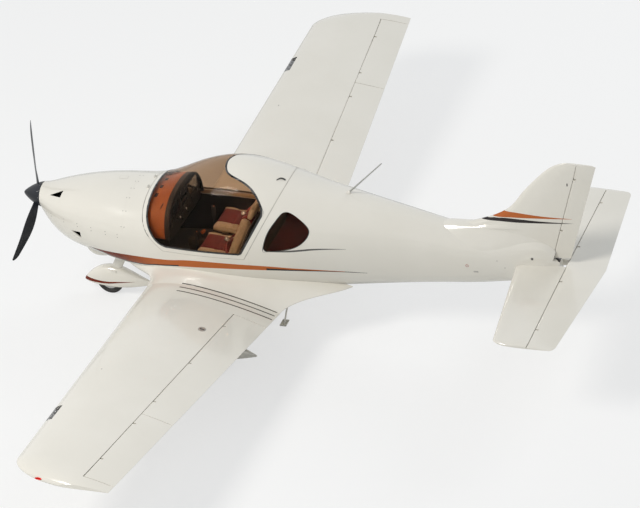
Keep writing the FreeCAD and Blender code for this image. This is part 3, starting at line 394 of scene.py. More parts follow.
# Fin and rudder: an orange and a grey band that sweep back from the leading edge and run
# out to points on the rudder.
fin_paint, tree, body, tone = gelcoat("fin_paint")
station, side, height = whereabouts(tree)
for name, colour, band_top, band_foot in (
        ("orange", ORANGE,
         ((5.30, 0.400), (5.46, 0.462), (5.55, 0.466), (5.86, 0.453), (6.13, 0.445)),
         ((5.30, 0.380), (5.44, 0.398), (5.60, 0.413), (5.86, 0.429), (6.13, 0.442))),
        ("grey", SLATE,
         ((5.16, 0.334), (5.27, 0.362), (5.35, 0.380), (5.54, 0.396), (5.80, 0.393),
          (6.14, 0.391)),
         ((5.16, 0.326), (5.35, 0.346), (5.54, 0.355), (5.80, 0.369), (6.14, 0.389)))):
    sweep = maths(tree, "MULTIPLY", within(tree, height, edge_line(tree, station, band_foot),
                                           edge_line(tree, station, band_top)),
                  within(tree, station, band_top[0][0], band_top[-1][0]))
    tone = paint(tree, body, tone, sweep, colour)
    flashes = sweep if name == "orange" else maths(tree, "MAXIMUM", flashes, sweep)
film(tree, body, flashes)
dress(fin_paint, "fin", "rudder")


# Wing skins: gelcoat, with three narrow dark non-slip strips along each root to step on.
wing_paint, tree, body, tone = gelcoat("wing_paint")
station, side, height = whereabouts(tree)
strips = None
for start_side in (0.767, 0.839, 0.915):
    spread = maths(tree, "MULTIPLY", maths(tree, "SUBTRACT", station, 2.09), 0.039)
    middle = maths(tree, "ADD", spread, start_side)
    strip = within(tree, maths(tree, "SUBTRACT", side, middle), -0.0075, 0.0075)
    strips = strip if strips is None else maths(tree, "MAXIMUM", strips, strip)
strips = maths(tree, "MULTIPLY", strips, within(tree, station, 2.092, 3.143))
film(tree, body, strips)
paint(tree, body, tone, maths(tree, "MULTIPLY", strips, 0.94), (0.040, 0.034, 0.028))
dress(wing_paint, "wing_left", "wing_right", "root_fairings")


# Spats: gelcoat shells, each with a brick-red flash that is deep at the nose and runs to a
# point aft.
SPAT_FLASH = ((-0.01, -0.005, 0.050), (0.14, 0.004, 0.036), (0.29, 0.018, 0.026),
              (0.42, 0.040, 0.016), (0.60, 0.058, 0.001))
spat_paint, tree, body, tone = gelcoat("spat_paint")
station, side, height = whereabouts(tree)
flashes = None
for nose, level in ((0.576, -1.040), (2.137, -1.000)):
    foot = edge_line(tree, station, [(nose + run, level + up) for run, up, deep in SPAT_FLASH])
    top = edge_line(tree, station,
                    [(nose + run, level + up + deep) for run, up, deep in SPAT_FLASH])
    flash = maths(tree, "MULTIPLY", within(tree, height, foot, top),
                  within(tree, station, nose - 0.01, nose + 0.60))
    tone = paint(tree, body, tone, flash, BRICK)
    flashes = flash if flashes is None else maths(tree, "MAXIMUM", flashes, flash)
film(tree, body, flashes)
dress(spat_paint, "nose_spat", "main_spat_left", "main_spat_right")


# Canopy glass: one blown pane of brown smoked acrylic, bonded to its frame behind a
# black painted border, and two three-cornered panes of the same in the rear shell.
def pane(name, tint, dusty):
    material, tree, body = shader(name)
    tune(body, Base_Color=(*tint, 1), Transmission_Weight=1.0, IOR=1.12)
    tone = tree.nodes.new("ShaderNodeGroup")
    tone.node_tree = mottle
    tune(tone, Scale=2.2)
    haze = tune(tree.nodes.new("ShaderNodeMapRange"), To_Min=0.0, To_Max=dusty)
    link(tree, tone.outputs["Fine"], haze.inputs["Value"])
    link(tree, haze.outputs[0], body.inputs["Roughness"])
    return material


smoked = pane("smoked_acrylic", (0.70, 0.56, 0.44), 0.03)
dress(smoked, "canopy_glass", "quarter_windows")


def only(thing, kind, test=lambda element: True):
    # Edit mode, with only the points, edges or faces chosen that pass the test
    pick(thing)
    mode("EDIT")
    bpy.ops.mesh.select_mode(type=kind)
    bpy.ops.mesh.select_all(action="DESELECT")
    mode("OBJECT")
    data = thing.data
    listed = {"VERT": data.vertices, "EDGE": data.edges, "FACE": data.polygons}[kind]
    for element in listed:
        element.select = test(element)
    mode("EDIT")


def copy_of(thing, name):
    other = bpy.data.objects.new(name, thing.data.copy())
    bpy.context.collection.objects.link(other)
    return other


def modify(thing, kind, **settings):
    pick(thing)
    bpy.ops.object.modifier_add(type=kind)
    modifier = thing.modifiers[-1]
    for setting, value in settings.items():
        setattr(modifier, setting, value)
    bpy.ops.object.modifier_apply(modifier=modifier.name)


def dish(thing, rings, drop=0.0):
    # Insets the top face by each ring in turn, and lets in what is left of it
    only(thing, "FACE", lambda face: face.normal.z > 0.99)
    for width in rings:
        bpy.ops.mesh.inset(thickness=width)
    bpy.ops.transform.translate(value=(0, 0, -drop))
    mode("OBJECT")


def settle(thing, name, material, body, smooth=35):
    # The finished piece: at the origin with its place in its mesh, named, painted, riding
    pick(thing)
    bake()
    bpy.ops.object.shade_smooth_by_angle(angle=math.radians(smooth))
    thing.name = thing.data.name = name
    thing.data.materials.clear()
    thing.data.materials.append(material)
    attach(thing, body)


def outer_skin(node, name):
    # A copy of the outward face of a thin moulded piece, its loose triangles merged
    sheet = copy_of(nodes[node], name)
    only(sheet, "VERT")
    bpy.ops.mesh.remove_doubles(threshold=0.00003)
    mode("OBJECT")

    def inward(face):
        outward = Vector((0, face.center.y, face.center.z - THRUST_LINE)).normalized()
        return face.normal.dot(outward) < 0.45

    only(sheet, "FACE", inward)
    bpy.ops.mesh.delete(type="FACE")
    mode("OBJECT")
    return sheet


black_border = finish("black_border", (0.014, 0.013, 0.013), (0.02, 0.019, 0.018), 0.3, scale=8,
                      bump=0.04, bump_scale=60, coat=0.3)
for node, name, width, rider in (("canopy_glass", "canopy_glass_border", 0.021, "canopy"),
                                 ("quarter_windows", "quarter_window_border", 0.008, "airframe")):
    rim = outer_skin(node, name)
    only(rim, "FACE")
    bpy.ops.mesh.inset(thickness=width, use_boundary=True, use_even_offset=False)
    bpy.ops.mesh.delete(type="FACE")
    modify(rim, "SOLIDIFY", thickness=0.0012, offset=1)
    settle(rim, name, black_border, rider)


# Canopy seal: a cream rubber lip bonded under the frame's edge, which closes the seam all
# round when the canopy is shut.
seal_rubber = finish("seal_rubber", (0.50, 0.48, 0.43), (0.42, 0.40, 0.36), 0.6, scale=12, bump=0.2,
                     bump_scale=150)
lip_width, lip_sink, bonded_width = 0.011, 0.0032, 0.004
seal = outer_skin("canopy_frame", "canopy_seal")
pick(seal)
mode("EDIT")
bpy.ops.mesh.select_mode(type="EDGE")
bpy.ops.mesh.select_all(action="SELECT")
bpy.ops.mesh.region_to_loop()
mode("OBJECT")
rim_edges = [edge for edge in seal.data.edges if edge.select]
pulls, neighbours = {}, {}
for face in seal.data.polygons:
    for corner in face.vertices:
        neighbours.setdefault(corner, []).append(face)
for edge in rim_edges:
    first, second = (seal.data.vertices[number] for number in edge.vertices)
    shared = [face for face in neighbours[edge.vertices[0]] if edge.vertices[1] in face.vertices]
    along = (second.co - first.co).normalized()
    away = (first.co + second.co) / 2 - shared[0].center
    away -= along * away.dot(along)
    for end in (first, second):
        pulls[tuple(end.co)] = pulls.get(tuple(end.co), Vector()) + away.normalized()
before = len(seal.data.vertices)
mode("EDIT")
bpy.ops.mesh.extrude_edges_move(TRANSFORM_OT_translate={"value": (0, 0, 0)})
mode("OBJECT")
for point in list(seal.data.vertices)[before:]:
    point.co += pulls[tuple(point.co)].normalized() * lip_width
for point in seal.data.vertices:
    point.co -= point.normal * lip_sink
only(seal, "FACE", lambda face: max(face.vertices) < before)
bpy.ops.mesh.inset(thickness=bonded_width, use_boundary=True)
bpy.ops.mesh.delete(type="FACE")
modify(seal, "SOLIDIFY", thickness=0.0014, offset=-1)
settle(seal, "canopy_seal", seal_rubber, "canopy")


# Baggage bay: a moulded floor behind the seats, covered in burgundy carpet and bonded to the
# hull, which shows through the quarter windows.
def cloth_finish(name, light, dark, weave=420, roughness=0.85, bump=0.5):
    material, tree, body = mixed_finish(name, light, dark, roughness, scale=9, spread=0.08)[:3]
    threads = tune(tree.nodes.new("ShaderNodeTexVoronoi"), Scale=weave)
    link(tree, placed(tree), threads.inputs["Vector"])
    raise_by(tree, body, threads.outputs["Distance"], bump, 0.0015)
    tune(body, Sheen_Weight=0.3)
    return material


burgundy_carpet = cloth_finish("burgundy_carpet", (0.19, 0.018, 0.022), (0.12, 0.012, 0.016))
bay_front, bay_rear, bay_height = 2.862, 3.56, -0.20
bay = begin(bpy.ops.mesh.primitive_grid_add, x_subdivisions=24, y_subdivisions=28, size=1,
            location=at((bay_front + bay_rear) / 2, 0, bay_height))
bay.scale = (bay_rear - bay_front, 0.80, 1)
bake()
for point in bay.data.vertices:
    share = (point.co.x - NOSE_TIP - bay_front) / (bay_rear - bay_front)
    point.co.y *= 1.0 - 0.24 * share
    point.co.z += 0.05 * max(0.0, abs(point.co.y) / 0.38 - 0.75) ** 2 * 16
modify(bay, "SOLIDIFY", thickness=0.012, offset=-1)
modify(bay, "BEVEL", width=0.004, segments=2)
settle(bay, "baggage_floor", burgundy_carpet, "airframe")


# Seats: foam cushions in burgundy leather with cream side bolsters and a cream headrest,
# resting on the moulded bench. Each is cut, sewn and stuffed, so its faces crown.
def leather(name, light, dark):
    material, tree, body, tone = mixed_finish(name, light, dark, 0.48, scale=10, spread=0.1)
    place = placed(tree)
    pebbles = tune(tree.nodes.new("ShaderNodeTexVoronoi"), Scale=260)
    pebbles.feature = "F2"
    link(tree, place, pebbles.inputs["Vector"])
    creases = tune(tree.nodes.new("ShaderNodeTexNoise"), Scale=22, Detail=6)
    link(tree, place, creases.inputs["Vector"])
    relief = maths(tree, "ADD", pebbles.outputs["Distance"],
                   maths(tree, "MULTIPLY", creases.outputs["Fac"], 1.5))
    raise_by(tree, body, relief, 0.45, 0.0012)
    return material, tree, body, tone


burgundy_leather = leather("burgundy_leather", (0.20, 0.022, 0.026), (0.13, 0.014, 0.018))[0]
cream_leather = leather("cream_leather", (0.60, 0.50, 0.36), (0.50, 0.41, 0.29))[0]
seat_lean = math.radians(24)
seat_side = 0.245
seat_foot = Vector((2.56, 0, -0.33))
cover_mesh = 0.007
filling_pressure = 4.0
filling_frames = 20


def stuff(thing, cap):
    # Fills a sewn cover: cloth blown up by its filling, no point moving past the cap
    modify(thing, "REMESH", mode="VOXEL", voxel_size=cover_mesh)
    before = [point.co.copy() for point in thing.data.vertices]
    pick(thing)
    bpy.ops.object.modifier_add(type="CLOTH")
    cloth = thing.modifiers[-1]
    cloth.settings.use_pressure = True
    cloth.settings.uniform_pressure_force = filling_pressure
    cloth.settings.effector_weights.gravity = 0
    cloth.settings.tension_stiffness = 15
    cloth.settings.bending_stiffness = 0.6
    cloth.collision_settings.use_self_collision = False
    scene = bpy.context.scene
    for step in range(1, filling_frames + 1):
        scene.frame_set(step)
    bpy.ops.object.modifier_apply(modifier=cloth.name)
    scene.frame_set(1)
    for point, start in zip(thing.data.vertices, before):
        moved = point.co - start
        if moved.length > cap:
            point.co = start + moved * (cap / moved.length)


def sew(thing, along, places, depth, width):
    # Pulls the cover in along straight seams that cross one axis at the given places
    for point in thing.data.vertices:
        pull = sum(math.exp(-((point.co[along] - place) / width) ** 2) for place in places)
        point.co -= point.normal * depth * pull


def pad(name, length, width, thick, taper, cap, seams, channels):
    # A cushion lying flat at the origin: length along X, thickness along Z
    made = begin(bpy.ops.mesh.primitive_cube_add, size=1)
    made.scale = (length - cap, width - cap, thick - cap)
    bake()
    only(made, "EDGE")
    bpy.ops.mesh.subdivide(number_cuts=5)
    mode("OBJECT")
    for point in made.data.vertices:
        share = point.co.x / length + 0.5
        point.co.y *= 1 - taper * share
        crown = 1 - (2 * point.co.x / length) ** 2 * 0.22 - (2 * point.co.y / width) ** 2 * 0.22
        point.co.z *= crown
    modify(made, "BEVEL", width=0.014, segments=3)
    stuff(made, cap)
    sew(made, 1, seams, 0.007, 0.007)
    sew(made, 0, channels, 0.005, 0.009)
    modify(made, "SMOOTH", iterations=2, factor=0.5)
    modify(made, "SUBSURF", levels=1, render_levels=1)
    made.name = name
    return made


def place_pad(made, turn, spot):
    pick(made)
    made.rotation_euler = (0, turn, 0)
    made.location = spot
    bake()


squab = pad("squab", 0.455, 0.425, 0.115, 0.0, 0.024, (-0.125, 0.125), (0.0,))
place_pad(squab, math.radians(5.2), at(2.335, -seat_side, -0.247))
back = pad("back", 0.58, 0.425, 0.105, 0.14, 0.024, (-0.115, 0.115), (-0.14, 0.02, 0.16))
reach, thick_half, neck = 0.31, 0.058, 0.665
back_spot = (seat_foot.x + reach * math.sin(seat_lean) - thick_half * math.cos(seat_lean),
             seat_foot.z + reach * math.cos(seat_lean) + thick_half * math.sin(seat_lean))
place_pad(back, -(math.pi / 2 - seat_lean), at(back_spot[0], -seat_side, back_spot[1] + 0.02))
rest = pad("rest", 0.15, 0.24, 0.085, 0.1, 0.016, (), ())
rest_spot = (seat_foot.x + neck * math.sin(seat_lean) - 0.05,
             seat_foot.z + neck * math.cos(seat_lean))
place_pad(rest, -(math.pi / 2 - seat_lean), at(rest_spot[0], -seat_side, rest_spot[1] + 0.01))


def two_tone(thing, half):
    # Cream bolsters outside the two long seams, burgundy between them
    thing.data.materials.append(cream_leather)
    for face in thing.data.polygons:
        face.material_index = int(abs(abs(face.center.y) - seat_side) > half)


for side_name, shift in (("left", 0.0), ("right", 2 * seat_side)):
    for made, label, half in ((squab, "seat_cushion_", 0.125), (back, "seat_back_", 0.113),
                              (rest, "headrest_", 0.0)):
        piece = copy_of(made, label + side_name)
        piece.location = (0, shift, 0)
        hide = burgundy_leather if half else cream_leather
        settle(piece, label + side_name, hide, "airframe", 60)
        if half:
            two_tone(piece, half)
        if half == 0.125:
            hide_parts("seat_" + side_name)
for made in (squab, back, rest):
    bpy.data.objects.remove(made)


# Harnesses: flat burgundy webbing over each seat, two shoulder straps that meet the lap
# belt in one buckle, all bolted to the bench.
webbing = cloth_finish("harness_webbing", (0.42, 0.025, 0.022), (0.30, 0.016, 0.016), weave=900,
                       roughness=0.7, bump=0.7)


def strap(name, points, width, material, body, thick=0.0022, flat=(0, 1, 0), on=None):
    # Flat webbing along a few points: an edge extruded from one to the next, then smoothed
    across = Vector(flat).normalized() * width / 2
    made = begin(bpy.ops.mesh.primitive_plane_add, size=1)
    mode("EDIT")
    bpy.ops.mesh.select_all(action="SELECT")
    bpy.ops.mesh.delete(type="ONLY_FACE")
    only(made, "VERT", lambda point: point.co.x > 0)
    bpy.ops.mesh.delete(type="VERT")
    mode("OBJECT")
    first, second = made.data.vertices
    first.co, second.co = points[0] - across, points[0] + across
    only(made, "EDGE")
    for start, end in zip(points, points[1:]):
        bpy.ops.mesh.extrude_region_move(TRANSFORM_OT_translate={"value": tuple(end - start)})
    bpy.ops.mesh.select_all(action="SELECT")
    bpy.ops.mesh.normals_make_consistent(inside=False)
    modify(made, "SUBSURF", levels=3, render_levels=3)
    if on:
        modify(made, "SHRINKWRAP", target=on, wrap_method="NEAREST_SURFACEPOINT",
               wrap_mode="OUTSIDE_SURFACE", offset=0.0015)
    modify(made, "SOLIDIFY", thickness=thick, offset=0)
    settle(made, name, material, body)


buckle_steel = finish("buckle_steel", (0.62, 0.62, 0.62), (0.5, 0.5, 0.5), 0.25, scale=30, bump=0.1,
                      bump_scale=300, metallic=1.0)


def rounded_block(name, size, spot, material, body, bevel=0.004, turn=(0, 0, 0), inset=0.0):
    # A moulded block with rounded edges; its top face may be let in
    made = begin(bpy.ops.mesh.primitive_cube_add, size=1)
    made.scale = size
    bake()
    modify(made, "BEVEL", width=bevel, segments=3)
    if inset:
        dish(made, (inset,), inset * 0.5)
    made.rotation_euler = turn
    made.location = spot
    settle(made, name, material, body)


lean_line = Vector((math.sin(seat_lean), 0, math.cos(seat_lean)))
lean_out = Vector((-math.cos(seat_lean), 0, math.sin(seat_lean)))
for side_name, flip in SIDES:
    side = flip * seat_side
    foot = at(seat_foot.x, side, seat_foot.z)
    cover = bpy.data.objects["seat_back_" + side_name]
    for number, offset in ((1, -0.075), (2, 0.075)):
        line = [foot + lean_line * up + lean_out * out + Vector((0, offset * wide, 0))
                for up, out, wide in ((0.63, 0.0, 1.0), (0.60, 0.12, 1.0), (0.45, 0.135, 0.95),
                                      (0.30, 0.14, 0.75), (0.17, 0.15, 0.4), (0.13, 0.17, 0.2))]
        strap("shoulder_strap_%s_%d" % (side_name, number), line, 0.042, webbing, "airframe",
              on=cover)
    lap = [at(2.56, side + offset, height) for offset, height in (
        (-0.22, -0.20), (-0.17, -0.16), (0.0, -0.14), (0.17, -0.16), (0.22, -0.20))]
    for point, forward in zip(lap, (0.04, 0.09, 0.14, 0.09, 0.04)):
        point.x -= forward
    strap("lap_belt_" + side_name, lap, 0.045, webbing, "airframe", flat=(0.5, 0, 0.9))
    rounded_block("buckle_" + side_name, (0.055, 0.06, 0.016), at(2.425, side, -0.133),
                  buckle_steel, "airframe", 0.005, (0, 0.5, 0), 0.008)


# Dash: moulded deck covered in tan leather, with demister slots let into it, and behind its
# edge the black instrument panel with two screens, five round gauges and its switches.
tan_dash, tree, body, tone = leather("tan_dash", (0.50, 0.155, 0.045), (0.41, 0.12, 0.034))
station, side, height = whereabouts(tree)
hood = maths(tree, "GREATER_THAN", station, 1.828)
paint(tree, body, tone, hood, (0.022, 0.020, 0.020))
dress(tan_dash, "glare_shield")
black_panel = finish("black_panel", (0.022, 0.022, 0.024), (0.015, 0.015, 0.017), 0.55, scale=30,
                     bump=0.4, bump_scale=700)
dress(black_panel, "instrument_panel", "control_sticks")
vent_black = finish("vent_black", (0.012, 0.012, 0.012), (0.02, 0.02, 0.02), 0.6, scale=40,
                    bump=0.2, bump_scale=500)
deck = nodes["glare_shield"]
for number, (station, side, wide, turn) in enumerate((
        (1.667, 0.202, 0.036, 0.15), (1.675, 0.071, 0.036, 0.0), (1.776, 0.333, 0.012, 0.35))):
    for side_name, flip in SIDES:
        # The louvre: a grid pressed onto the deck, its rim raised and its middle let in
        vent = begin(bpy.ops.mesh.primitive_grid_add, x_subdivisions=6, y_subdivisions=8, size=1,
                     location=at(station, flip * side, 0.40))
        vent.scale = (wide, 0.050, 1)
        vent.rotation_euler = (0, 0, flip * turn)
        bake()
        modify(vent, "SHRINKWRAP", target=deck, wrap_method="PROJECT",
               use_project_z=True, use_negative_direction=True, use_positive_direction=False)
        only(vent, "FACE")
        bpy.ops.mesh.inset(thickness=0.003, depth=0.0)
        bpy.ops.transform.translate(value=(0, 0, -0.001))
        modify(vent, "SOLIDIFY", thickness=0.002, offset=1)
        settle(vent, "dash_vent_%s_%d" % (side_name, number), vent_black, "airframe")

panel_face = 1.8685
screen_glass = finish("screen_glass", (0.008, 0.012, 0.016), (0.014, 0.02, 0.026), 0.08, scale=5,
                      spread=0.03, coat=0.6)
gauge_white = finish("gauge_white", (0.75, 0.75, 0.72), (0.6, 0.6, 0.58), 0.4, scale=60)


def framed(name, width, height, side, level, depth, frame_width, material, glass):
    # An instrument let into the panel: a raised frame round a sunk glass
    made = begin(bpy.ops.mesh.primitive_plane_add, size=1)
    made.scale = (height, width, 1)
    bake()
    only(made, "FACE")
    bpy.ops.mesh.extrude_region_move(TRANSFORM_OT_translate={"value": (0, 0, depth)})
    bpy.ops.mesh.inset(thickness=frame_width)
    bpy.ops.transform.translate(value=(0, 0, -depth * 0.45))
    modify(made, "BEVEL", width=0.0018, segments=2)
    made.rotation_euler = (0, math.pi / 2, 0)
    made.location = at(panel_face, side, level)
    settle(made, name, material, "airframe")
    made.data.materials.append(glass)
    inner_high, inner_wide = height / 2 - frame_width * 0.9, width / 2 - frame_width * 0.9
    for face in made.data.polygons:
        spot = face.center
        level_off, side_off = abs(spot.z - THRUST_LINE - level), abs(spot.y - side)
        if face.normal.x > 0.9 and level_off < inner_high and side_off < inner_wide:
            face.material_index = 1


for side_name, flip in SIDES:
    framed("flight_screen_" + side_name, 0.26, 0.17, flip * seat_side, 0.165, 0.014, 0.016,
           black_panel, screen_glass)
framed("radio_stack", 0.16, 0.055, 0.0, 0.175, 0.012, 0.007, black_panel, screen_glass)
framed("transponder", 0.16, 0.042, 0.0, 0.115, 0.012, 0.007, black_panel, screen_glass)


def dial(name, radius, side, level):
    # A round gauge: a turned rim round a sunk black face, with white ticks and a needle
    made = begin(bpy.ops.mesh.primitive_cylinder_add, vertices=40, radius=radius, depth=0.012,
                 location=(0, 0, 0.006))
    dish(made, (radius * 0.12,), 0.005)
    modify(made, "BEVEL", width=0.0012, segments=2)
    face_parts = [made]
    for tick in range(12):
        angle = math.tau * (tick + 0.5) / 13 - math.pi * 0.96
        mark = begin(bpy.ops.mesh.primitive_cube_add, size=1, location=(
            math.cos(angle) * radius * 0.74, math.sin(angle) * radius * 0.74, 0.0075))
        mark.scale = (radius * 0.17, radius * 0.045, 0.0006)
        mark.rotation_euler = (0, 0, angle)
        mark.data.materials.append(gauge_white)
        face_parts.append(mark)
    needle = begin(bpy.ops.mesh.primitive_cone_add, vertices=8, radius1=radius * 0.06,
                   radius2=0.0003, depth=radius * 0.7, location=(radius * 0.2, 0.0, 0.0085))
    needle.rotation_euler = (0, math.pi / 2, 0.0)
    needle.data.materials.append(gauge_white)
    face_parts.append(needle)
    made.data.materials.append(black_panel)
    deselect()
    for part in face_parts:
        part.select_set(True)
    bpy.context.view_layer.objects.active = made
    bpy.ops.object.join()
    made.rotation_euler = (0, math.pi / 2, 0)
    made.location = at(panel_face, side, level)
    bake()
    made.name = made.data.name = name
    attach(made, "airframe")


for number, (side, level) in enumerate(((-0.055, 0.248), (0.055, 0.248), (-0.36, 0.04),
                                        (0.36, 0.04), (0.0, 0.048))):
    dial("gauge_%d" % number, 0.029 if number < 4 else 0.024, side, level)


STEM_SHARE = 0.8


def knob(name, radius, length, spot, material, body, along=(1, 0, 0)):
    # A turned knob on a short stem, its edge rounded
    made = begin(bpy.ops.mesh.primitive_cylinder_add, vertices=24, radius=radius, depth=length,
                 location=(0, 0, length / 2))
    dish(made, (radius * 0.25,), radius * 0.12)
    for point in made.data.vertices:
        if point.co.z < length * 0.1:
            point.co.x *= STEM_SHARE
            point.co.y *= STEM_SHARE
    modify(made, "BEVEL", width=radius * 0.14, segments=2)
    made.rotation_mode = "QUATERNION"
    made.rotation_quaternion = Vector(along).to_track_quat("Z", "Y")
    made.location = spot
    settle(made, name, material, body)


for number in range(9):
    side = (number - 4) * 0.034
    rounded_block("rocker_%d" % number, (0.022, 0.013, 0.008), at(panel_face + 0.003, side, 0.005),
                  gauge_white if number in (0, 5) else vent_black, "airframe", 0.0018,
                  (0, math.pi / 2 - 0.12, 0))
for number, (side, level) in enumerate(((-0.075, -0.06), (0.075, -0.06), (-0.20, 0.03),
                                        (0.20, 0.03), (-0.44, -0.02), (0.44, -0.02))):
    knob("panel_knob_%d" % number, 0.012, 0.022, at(panel_face, side, level), vent_black,
         "airframe")


# Controls: moulded rubber grips on the two sticks, and a throttle and flap lever with
# orange knobs on the console between the seats.
grip_rubber = finish("grip_rubber", (0.025, 0.025, 0.026), (0.04, 0.04, 0.042), 0.65, scale=40,
                     bump=0.5, bump_scale=600)
orange_knob = finish("orange_knob", (0.62, 0.16, 0.03), (0.5, 0.12, 0.02), 0.35, scale=40)
for side_name, flip in SIDES:
    side = flip * seat_side
    grip = begin(bpy.ops.mesh.primitive_cylinder_add, vertices=24, radius=0.018, depth=0.15)
    only(grip, "EDGE", lambda edge: abs(grip.data.vertices[edge.vertices[0]].co.z
                                        - grip.data.vertices[edge.vertices[1]].co.z) > 0.1)
    bpy.ops.mesh.subdivide(number_cuts=14)
    mode("OBJECT")
    for point in grip.data.vertices:
        share = point.co.z / 0.15 + 0.5
        swell = 1.0 + 0.22 * math.sin(share * 3.1) - 0.09 * math.cos(share * 25) + 0.25 * share ** 4
        point.co.x = point.co.x * swell - 0.012 * share ** 2
        point.co.y *= swell * 0.92
    modify(grip, "BEVEL", width=0.004, segments=3)
    grip.rotation_euler = (0, 0.12, 0)
    grip.location = at(2.083, side, -0.155)
    settle(grip, "stick_grip_" + side_name, grip_rubber, "airframe", 50)
    knob("stick_button_" + side_name, 0.007, 0.012, at(2.088, side, -0.082), orange_knob,
         "airframe", (0.1, 0, 1))
console_top, lever_length = -0.348, 0.11
for name, station, side, lean in (("throttle", 2.01, 0.012, 0.35), ("flap", 2.07, -0.012, -0.3)):
    lever = begin(bpy.ops.mesh.primitive_cylinder_add, vertices=16, radius=0.0045,
                  depth=lever_length, location=(0, 0, lever_length / 2))
    dish(lever, (0.001,))
    modify(lever, "BEVEL", width=0.001, segments=2)
    lever.rotation_euler = (0, lean, 0)
    lever.location = at(station, side, console_top)
    settle(lever, name + "_lever", buckle_steel, "airframe")
    upwards = Vector((math.sin(lean), 0, math.cos(lean)))
    knob(name + "_knob", 0.017, 0.03, at(station, side, console_top) + upwards * 0.105,
         orange_knob, "airframe", upwards)
console_trim = finish("console_trim", (0.11, 0.09, 0.075), (0.08, 0.065, 0.055), 0.6, scale=18,
                      bump=0.4, bump_scale=400)
dress(console_trim, "centre_console", "seat_bulkhead", "seat_bench")
dress(cloth_finish("floor_carpet", (0.05, 0.045, 0.045), (0.03, 0.028, 0.028)), "cabin_floor")


# Engine bay: the engine block, its tube mount, the firewall and the drive flange show only
# through the inlets and from below.
cast_alloy = finish("cast_alloy", (0.30, 0.30, 0.30), (0.20, 0.20, 0.20), 0.55, scale=25, bump=0.5,
                    bump_scale=200, metallic=0.8)
dress(cast_alloy, "engine", "drive_flange")
black_tube = finish("black_tube", (0.03, 0.03, 0.032), (0.02, 0.02, 0.022), 0.4, scale=20,
                    bump=0.15, bump_scale=300)
dress(black_tube, "engine_mount", "nose_leg_socket")
firewall_steel = finish("firewall_steel", (0.42, 0.41, 0.40), (0.34, 0.33, 0.32), 0.35, scale=15,
                        bump=0.15, bump_scale=120, metallic=1.0)
dress(firewall_steel, "firewall")
burnt_steel = finish("burnt_steel", (0.34, 0.25, 0.18), (0.16, 0.13, 0.12), 0.4, scale=14, bump=0.2,
                     bump_scale=180, metallic=1.0)
dress(burnt_steel, "exhaust")


# Propeller: three black lacquered blades, and a black spinner held by screws to its turned
# back plate.
black_lacquer, tree, body, tone = mixed_finish("black_lacquer", (0.011, 0.013, 0.017),
                                               (0.020, 0.023, 0.029), 0.34, scale=6, spread=0.08,
                                               bump=0.03, bump_scale=40)
tune(body, Specular_IOR_Level=0.28)
dress(black_lacquer, "spinner", "propeller_blades")
plate_station = 0.2355
plate = begin(bpy.ops.mesh.primitive_cylinder_add, vertices=96, radius=0.1400, depth=0.006,
              end_fill_type="NOTHING", location=at(plate_station, 0, 0),
              rotation=(0, math.pi / 2, 0))
modify(plate, "SOLIDIFY", thickness=0.012, offset=-1)
modify(plate, "BEVEL", width=0.0015, segments=2)
settle(plate, "spinner_back_plate", black_lacquer, "propeller")
screw_steel = finish("screw_steel", (0.45, 0.45, 0.45), (0.3, 0.3, 0.3), 0.35, scale=60, bump=0.2,
                     bump_scale=500, metallic=1.0)


def screw_head(radius):
    # A low head whose middle is let in, as its recess
    made = begin(bpy.ops.mesh.primitive_cylinder_add, vertices=12, radius=radius,
                 depth=radius * 0.4)
    dish(made, (radius * 0.3, radius * 0.3), radius * 0.2)
    return made


def scatter(name, head, spots, material, body):
    # One piece from copies of a small one, each set down on its spot and facing outwards
    copies = []
    for spot, outward in spots:
        other = copy_of(head, name)
        other.rotation_mode = "QUATERNION"
        other.rotation_quaternion = Vector(outward).to_track_quat("Z", "Y")
        other.location = spot
        copies.append(other)
    deselect()
    for other in copies:
        other.select_set(True)
    bpy.context.view_layer.objects.active = copies[0]
    bpy.ops.object.join()
    bpy.data.objects.remove(head)
    settle(copies[0], name, material, body, 50)


ring_spots = []
for number in range(12):
    angle = math.tau * (number + 0.5) / 12
    outward = Vector((0, math.cos(angle), math.sin(angle)))
    ring_spots.append((at(0.222, 0, 0) + outward * 0.1372, (-0.25, outward.y, outward.z)))
scatter("spinner_screws", screw_head(0.0035), ring_spots, screw_steel, "propeller")


# Cowl fasteners: quarter-turn studs of dark steel along the cowl's seams, flush with the
# skin, and a hinged oil door in the top cowl.
def on_skin(skin, start, towards):
    # Where a straight line from a point meets a skin, and which way the skin faces there
    found, spot, outward = skin.ray_cast(start, Vector(towards).normalized())[:3]
    return (spot, outward) if found else None


cowl_top, cowl_foot, front_hull, rear_hull = (nodes[name] for name in (
    "cowl_upper", "cowl_lower", "fuselage_front", "fuselage_rear"))
stud_dark = finish("stud_dark", (0.16, 0.15, 0.14), (0.10, 0.095, 0.09), 0.4, scale=60, bump=0.2,
                   bump_scale=500, metallic=0.7)
spots = []
for station in (0.42, 0.60, 0.78, 0.96, 1.14, 1.29):
    for side in (-1, 1):
        for skin, height in ((cowl_top, -0.052), (cowl_foot, -0.088)):
            spots.append(on_skin(skin, at(station, side * 0.9, height), (0, -side, 0)))
for skin, station in ((cowl_top, 1.342), (front_hull, 1.378)):
    for number in range(9):
        angle = math.pi * (0.06 + 0.11 * number)
        ring = Vector((0, math.cos(angle), math.sin(angle)))
        spots.append(on_skin(skin, at(station, 0, -0.05) + ring, -ring))
spots = [spot for spot in spots if spot]
scatter("cowl_studs", screw_head(0.0042), spots, stud_dark, "airframe")


